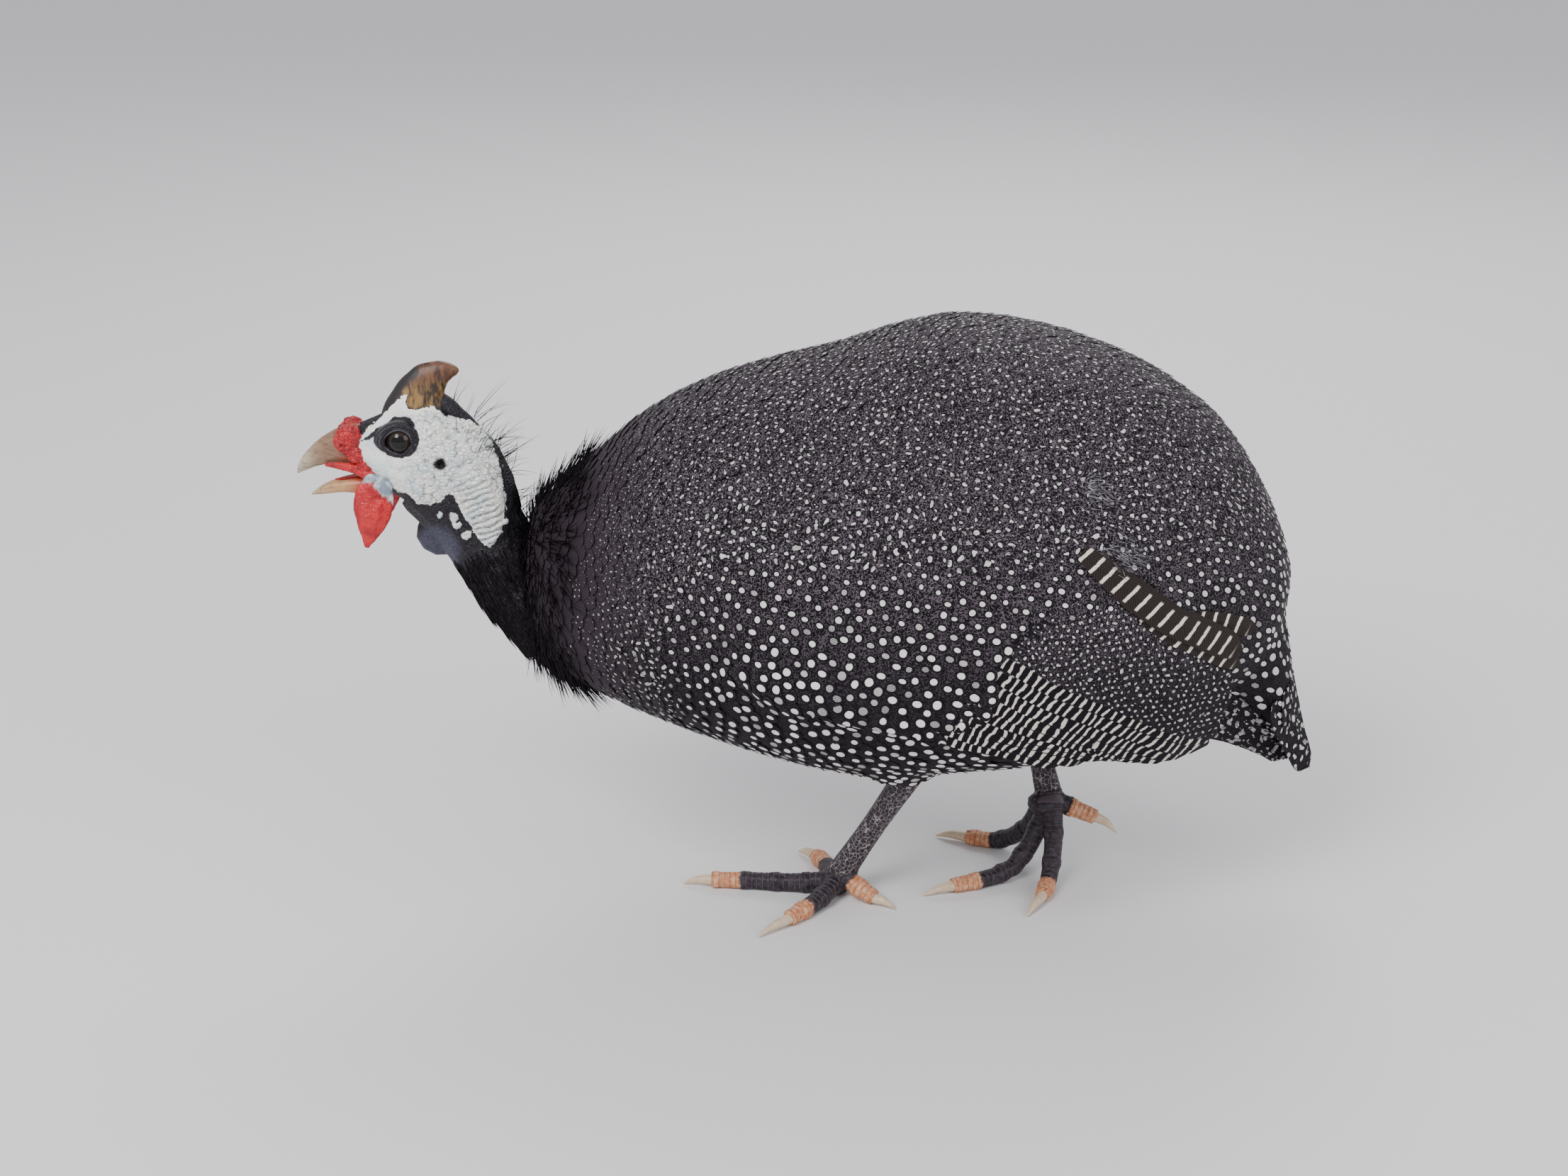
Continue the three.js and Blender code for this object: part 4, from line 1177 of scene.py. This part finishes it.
BILL_UPPER = [
    ((-178, 0, 207), 7.4, 10.2),
    ((-188, 0, 208), 6.8, 9.8),
    ((-197, 0, 206.5), 5.0, 6.8),
    ((-205, 0, 202.5), 3.0, 4.2),
    ((-210, 0, 198.4), 1.6, 2.1),
    ((-212, 0, 195.8), 0.4, 0.5),
]
BILL_LOWER = [
    ((-174, 0, 190.4), 7.0, 5.6),
    ((-184, 0, 191), 6.2, 4.6),
    ((-193, 0, 190.4), 4.9, 3.4),
    ((-201, 0, 188.2), 3.0, 2.1),
    ((-206.6, 0, 186), 0.4, 0.4),
]


def bill_piece(name, sections, look, node, hollow):
    """One half of the bill. hollow is how deep its inner side is, less than 0 where that is below."""
    points, faces = loft(sections, 36, 36)
    start, end = sections[0][0][0], sections[-1][0][0]
    share = np.clip((points[:, 0] - start) / (end - start), 0, 1)
    line, _, _, tall = along_sections(sections, share)
    height = (points[:, 2] - line[:, 2]) / tall
    inner = smooth_step(height * hollow, 0.05, 0.75) * (abs(points[:, 1]) < 0.9 * tall)
    points[:, 2] -= inner * hollow * tall * 0.9 * (1 - share) ** 0.5
    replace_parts(mesh_piece(name, points, faces, look, "bill", values={"share": share}), node)


bill_piece("bill_top", BILL_UPPER, BILL_TOP, "bill_upper", -0.35)
bill_piece("bill_bottom", BILL_LOWER, BILL_BOTTOM, "bill_lower", 0.8)
TONGUE = [((-180.5, 0, 193.0), 2.6, 1.3), ((-188, 0, 193.4), 2.0, 1.0), ((-196, 0, 192.8), 0.3, 0.3)]
tongue = mesh_piece("tongue_flesh", *loft(TONGUE, 16, 12), RED, "red_skin", values={"pale": OUTSIDE})
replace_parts(tongue, "tongue")

# Ceres, gape and wattles

WATTLE_TOP = [
    (-186, 195.4), (-177, 195.2), (-172.5, 189.7), (-168.8, 185.4), (-164, 190), (-164, 204), (-186, 204),
]
GAPE = [
    ((-199, 3.8, 200.6), 0.5, 0.8),
    ((-192, 6.2, 200.6), 1.2, 1.7),
    ((-185, 8.2, 199.8), 1.5, 2.3),
    ((-179, 9.8, 197), 1.6, 2.5),
    ((-176, 10.4, 193.4), 1.5, 2.2),
    ((-178, 9.4, 190.4), 0.5, 0.8),
]
for word, side in SIDES:
    cere = flesh("cere_skin_" + word, ["cere_" + word], 0.45, 2, RED)
    points, out = points_of(cere), normals_of(cere)
    rough = noise_at(points, 0.55) + 0.6 * noise_at(points, 1.1, 5)
    move_points(cere, points + out * (0.3 + 0.75 * rough)[:, None])
    give_value(cere, "pale", OUTSIDE)
    # rough turns on the red look's painted shade in the crevices
    give_value(cere, "rough", 1)
    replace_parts(cere, "cere_" + word)
    points, faces = loft([((x, side * y, z), wide, tall) for (x, y, z), wide, tall in GAPE], 16, 30)
    points[:, 1] += side * 0.6 * noise_at(points, 0.8)
    mesh_piece("gape_" + word, points, faces, RED, "red_skin", values={"pale": OUTSIDE})
    wattle = flesh("wattle_skin_" + word, ["wattle_" + word], 0.55, 5, RED)
    points, out = points_of(wattle), normals_of(wattle)
    rough = noise_at(points, (0.35, 0.35, 0.16))
    move_points(wattle, points + out * (0.2 + 0.4 * rough)[:, None])
    give_value(wattle, "pale", outline_depth(points[:, [0, 2]], WATTLE_TOP))
    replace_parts(wattle, "wattle_" + word)

# Legs

LEGS = {
    "left": {
        "ankle": (61, -30, 74),
        "joint": (25, -18.5, 9.5),
        "toes": [
            ([(25, -18, 7), (8, -16, 4.3), (-14, -13, 3.7), (-33, -11, 3.2)], (-46, -10, 0.8)),
            ([(24, -20, 7), (14, -35, 4), (2, -49, 3.2)], (-11, -61, 0.8)),
            ([(23, -15, 7), (20, 1, 4), (15, 14, 3.2)], (7, 23, 0.8)),
            ([(27, -19, 10), (35, -25, 5.4), (41, -29, 3.2)], (50, -35, 0.8)),
        ],
    },
    "right": {
        "ankle": (113, 24, 78),
        "joint": (123, 8, 35),
        "toes": [
            ([(123, 7, 36), (116, 3, 19), (106, -4, 6), (92, -11, 3.4), (77, -17, 3.1)], (64, -22, 0.8)),
            ([(124, 4, 35), (124, -4, 17), (121, -15, 4), (117, -27, 3.1)], (109, -42, 0.8)),
            ([(122, 11, 35), (114, 19, 15), (101, 28, 4), (87, 34, 3.1)], (73, 40, 0.8)),
            ([(124, 9, 35), (135, 8, 30), (144, 7, 26.5)], (154, 6, 19)),
        ],
    },
}
CLAW_HALF = 2.5
TOE_RADIUS = 4.6
LINE_STEP = 100  # added along each further line, so that no two share a place
TOE_NAMES = ("middle", "outer", "inner", "hind")


def leg_places(points, lines):
    """Places along the nearest line and round it, whether it is a toe's, and how near that toe's end."""
    nearest = np.full(len(points), 1e9)
    along, round_, toes, pale = np.zeros((4, len(points)))
    for i, line in enumerate(lines):
        lengths = np.concatenate([[0], np.cumsum(np.linalg.norm(np.diff(line, axis=0), axis=1))])
        run = unit(np.gradient(line, axis=0))
        sideways = unit(np.cross(run, (0.0, 0.0, 1.0) if i else (1.0, 0.0, 0.3)))
        upward = np.cross(sideways, run)
        far = np.linalg.norm(points[:, None] - line[None], axis=2)
        k = far.argmin(axis=1)
        offset = points - line[k]
        closer = far.min(axis=1) < nearest
        turn = np.arctan2((offset * sideways[k]).sum(1), (offset * upward[k]).sum(1))
        end = smooth_step(lengths[k] - lengths[-1] + 17, 0, 8)
        nearest = np.where(closer, far.min(axis=1), nearest)
        along = np.where(closer, lengths[k] + LINE_STEP * i, along)
        round_ = np.where(closer, turn * TOE_RADIUS, round_)
        toes = np.where(closer, float(i > 0), toes)
        pale = np.where(closer, end * (i > 0), pale)
    return {"along": along, "round": round_, "toes": toes, "pale": pale}


for word, side in SIDES:
    leg = LEGS[word]
    skin = flesh("leg_skin_" + word, ["shank_" + word, "foot_" + word], 0.8, 4, LEG)
    points, out = points_of(skin), normals_of(skin)
    paths = [[leg["ankle"], leg["joint"]]] + [path for path, _ in leg["toes"]]
    values = leg_places(points, [along_curve(path, np.linspace(0, 1, 90)) for path in paths])
    along, toes = values["along"], values["toes"]
    scutes = toes * 0.28 * abs(np.sin(along * math.pi / SCUTE_STEP)) * (abs(values["round"]) < 5)
    knots = toes * 0.5 * smooth_step(np.sin(along * 2 * math.pi / 14), 0.2, 1)
    keep_floor = smooth_step(points[:, 2], 0.3, 1.5)
    move_points(skin, points + out * ((0.15 + scutes + knots) * keep_floor)[:, None])
    for key, row in values.items():
        give_value(skin, key, row)
    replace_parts(skin, "shank_" + word, "foot_" + word)
    for (path, tip), toe in zip(leg["toes"], TOE_NAMES):
        root, tip = np.array(path[-1], float), np.array(tip, float)
        back = root + (np.array(path[-2]) - root) * 0.3
        bend = root + (tip - root) * 0.55
        bend[2] = max(bend[2], root[2] * 0.9)
        sections = [(back, 2.6, 2.6), (root, CLAW_HALF, CLAW_HALF), (bend, 1.7, 1.8), (tip, 0.3, 0.35)]
        points, faces = loft(sections, 16, 18, np.cross((0, 0, 1), tip - root))
        points[:, 2] = np.maximum(points[:, 2], 0.05)
        claw = mesh_piece(f"claw_horn_{word}_{toe}", points, faces, CLAW, "claw")
        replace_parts(claw, f"claw_{word}_{toe}")

# Neck feathers and bristles, as thin strands

STRAND_ROWS = 5


def strands(name, roots, ways, bends, lengths, half, look, slot="neck_plumage"):
    """Thin tapering strands: each starts at a root, leaves along its way and turns towards its bend."""
    count = len(roots)
    share = np.linspace(0, 1, STRAND_ROWS)
    centre = (
        roots[:, None]
        + ways[:, None] * (share * lengths[:, None])[:, :, None]
        + bends[:, None] * (share**2 * lengths[:, None])[:, :, None]
    )
    run = unit(np.gradient(centre, axis=1))
    side = unit(np.cross(run, unit(ways + (0.13, 0.7, 0.31))[:, None]))
    up = np.cross(run, side)
    width = half[:, None] * np.array([0.8, 1.0, 0.8, 0.5, 0.06])[None]
    angles = np.arange(3) / 3 * 2 * math.pi
    points = (
        centre[:, :, None]
        + side[:, :, None] * (width[:, :, None] * np.cos(angles))[..., None]
        + up[:, :, None] * (width[:, :, None] * np.sin(angles))[..., None]
    )
    quads = tube_faces(STRAND_ROWS - 1, 3)
    faces = (quads[None] + np.arange(count)[:, None, None] * STRAND_ROWS * 3).reshape(-1, 4)
    spread = unwrap(roots)
    spread = (spread - spread.min(0)) / (np.ptp(spread, axis=0) + 1e-6) * 0.96 + 0.02
    patch = np.stack(np.meshgrid(np.arange(3) / 2 - 0.5, share - 0.5), -1).reshape(-1, 2) * 0.003
    bake = (spread[:, None] + patch[None]).reshape(-1, 2)
    mesh_piece(name, points.reshape(-1, 3), faces, look, slot, {"OFBake": bake})


def neck_run(points):
    line = along_curve(NECK_LINE, np.linspace(0, 1, 60))
    run = unit(np.gradient(line, axis=0))
    near = np.linalg.norm(points[:, None] * (1, 0, 1) - line[None], axis=2).argmin(axis=1)
    return run[near]


head_surface = BVHTree.FromObject(head, bpy.context.evaluated_depsgraph_get())
roots, out = scatter(head, lambda p: np.full(len(p), 1.5), 30000, lambda p: on_skin(p, head_surface))
depth = outline_depth(roots[:, [0, 2]], FACE_OUTLINE)
below = roots[:, 2] < np.interp(roots[:, 0], [-160, -150, -138, -122, -112], [150, 156, 163, 176, 215])
keep = below & (depth < -2.0)
roots, out = roots[keep], out[keep]
run = neck_run(roots) + rng.normal(0, 0.12, roots.shape)
run = unit(run - out * np.einsum("ij,ij->i", run, out)[:, None])
lengths = rng.uniform(9, 15, len(roots))
half = rng.uniform(0.3, 0.5, len(roots))
strands("neck_feathers", roots - out * 0.3, unit(run + out * 0.16), -out * 0.10, lengths, half, NECK_HAIR)


def pick_roots(piece, wanted, count, jitter):
    """Random places on a piece where wanted is true, and the ways out there."""
    points, out = points_of(piece), normals_of(piece)
    index = rng.choice(np.flatnonzero(wanted(points, out)), count)
    shift = rng.normal(0, jitter, (count, 3))
    shift -= out[index] * np.einsum("ij,ij->i", shift, out[index])[:, None]
    return points[index] + shift, out[index]


# The bristly edge where the mantle meets the neck
roots, out = pick_roots(base, lambda p, n: (from_neck(p) < 50) & (p[:, 0] < -88), 1500, 2.0)
away = unit(roots - np.array([-128, 0, 168]))
away = unit(away - out * np.einsum("ij,ij->i", away, out)[:, None])
ways = unit(out * rng.uniform(0.2, 0.8, len(roots))[:, None] + away + rng.normal(0, 0.18, roots.shape))
lengths = rng.uniform(8, 17, len(roots))
half = rng.uniform(0.2, 0.4, len(roots))
strands("mantle_edge", roots, ways, away * 0.3, lengths, half, NECK_HAIR)

# Bristles off the nape and crown
NAPE_BRISTLES = 90


def on_nape_line(points, out):
    return (out[:, 0] > 0.1) & (points[:, 0] > -146) & (abs(points[:, 1]) < 10) & (points[:, 2] > 168)


roots, out = pick_roots(head, on_nape_line, NAPE_BRISTLES, 0.5)
ways = unit(out + (0.1, 0.0, 0.55) + rng.normal(0, 0.3, roots.shape))
bends = rng.normal(0, 0.22, roots.shape) + (0.15, 0.0, -0.2)
half = np.full(len(roots), 0.16)
strands("nape_bristles", roots, ways, bends, rng.uniform(7, 20, len(roots)), half, NECK_HAIR)

# Grey down that shows where the side's feathers part
DOWN_PLACES = [(126.6, -85, 217), (136, -88, 188)]
roots = np.vstack([rng.normal(0, 1, (70, 3)) * (4.5, 2, 3.5) + place for place in DOWN_PLACES])
roots, out = on_skin(roots)
ways = unit(lie(roots, out) + out * 0.35 + rng.normal(0, 0.4, roots.shape))
lengths = rng.uniform(5, 9, len(roots))
strands("down", roots + out * 1.2, ways, -out * 0.15, lengths, np.full(len(roots), 0.2), DOWN, "plumage")

# Floor, light and camera

look = Look("floor", (0.74, 0.73, 0.74), 0.9)
bpy.ops.mesh.primitive_plane_add(size=30)
floor = bpy.context.object
floor.name = "floor"
floor.data.materials.append(look.material)

world = bpy.data.worlds.new("world")
bpy.context.scene.world = world
world.use_nodes = True
world.node_tree.nodes["Background"].inputs[0].default_value = (0.80, 0.80, 0.84, 1)
world.node_tree.nodes["Background"].inputs[1].default_value = 0.95


def softbox(name, place, target, power, size):
    data = bpy.data.lights.new(name, "AREA")
    data.energy, data.size = power, size
    lamp = bpy.data.objects.new(name, data)
    bpy.context.scene.collection.objects.link(lamp)
    lamp.location = Vector(place)
    lamp.rotation_euler = (Vector(target) - Vector(place)).to_track_quat("-Z", "Y").to_euler()


BODY_CENTRE = (0.03, 0.0, 0.15)
softbox("key light", (-0.9, -1.3, 1.6), BODY_CENTRE, 36, 0.9)
softbox("fill light", (1.4, -1.0, 1.0), BODY_CENTRE, 12, 1.2)
softbox("back light", (0.3, 1.4, 1.5), BODY_CENTRE, 16, 1.0)

CAMERA_PLACE = (0.0, -1000.0, 510.0)
CAMERA_PITCH = 20.2
data = bpy.data.cameras.new("camera")
data.lens, data.sensor_width = 55.09, 36.0
data.clip_start, data.clip_end = 0.05, 50
camera = bpy.data.objects.new("camera", data)
bpy.context.scene.collection.objects.link(camera)
camera.location = Vector(to_frame(CAMERA_PLACE))
camera.rotation_euler = (math.radians(90 - CAMERA_PITCH), 0, 0)
bpy.context.scene.camera = camera
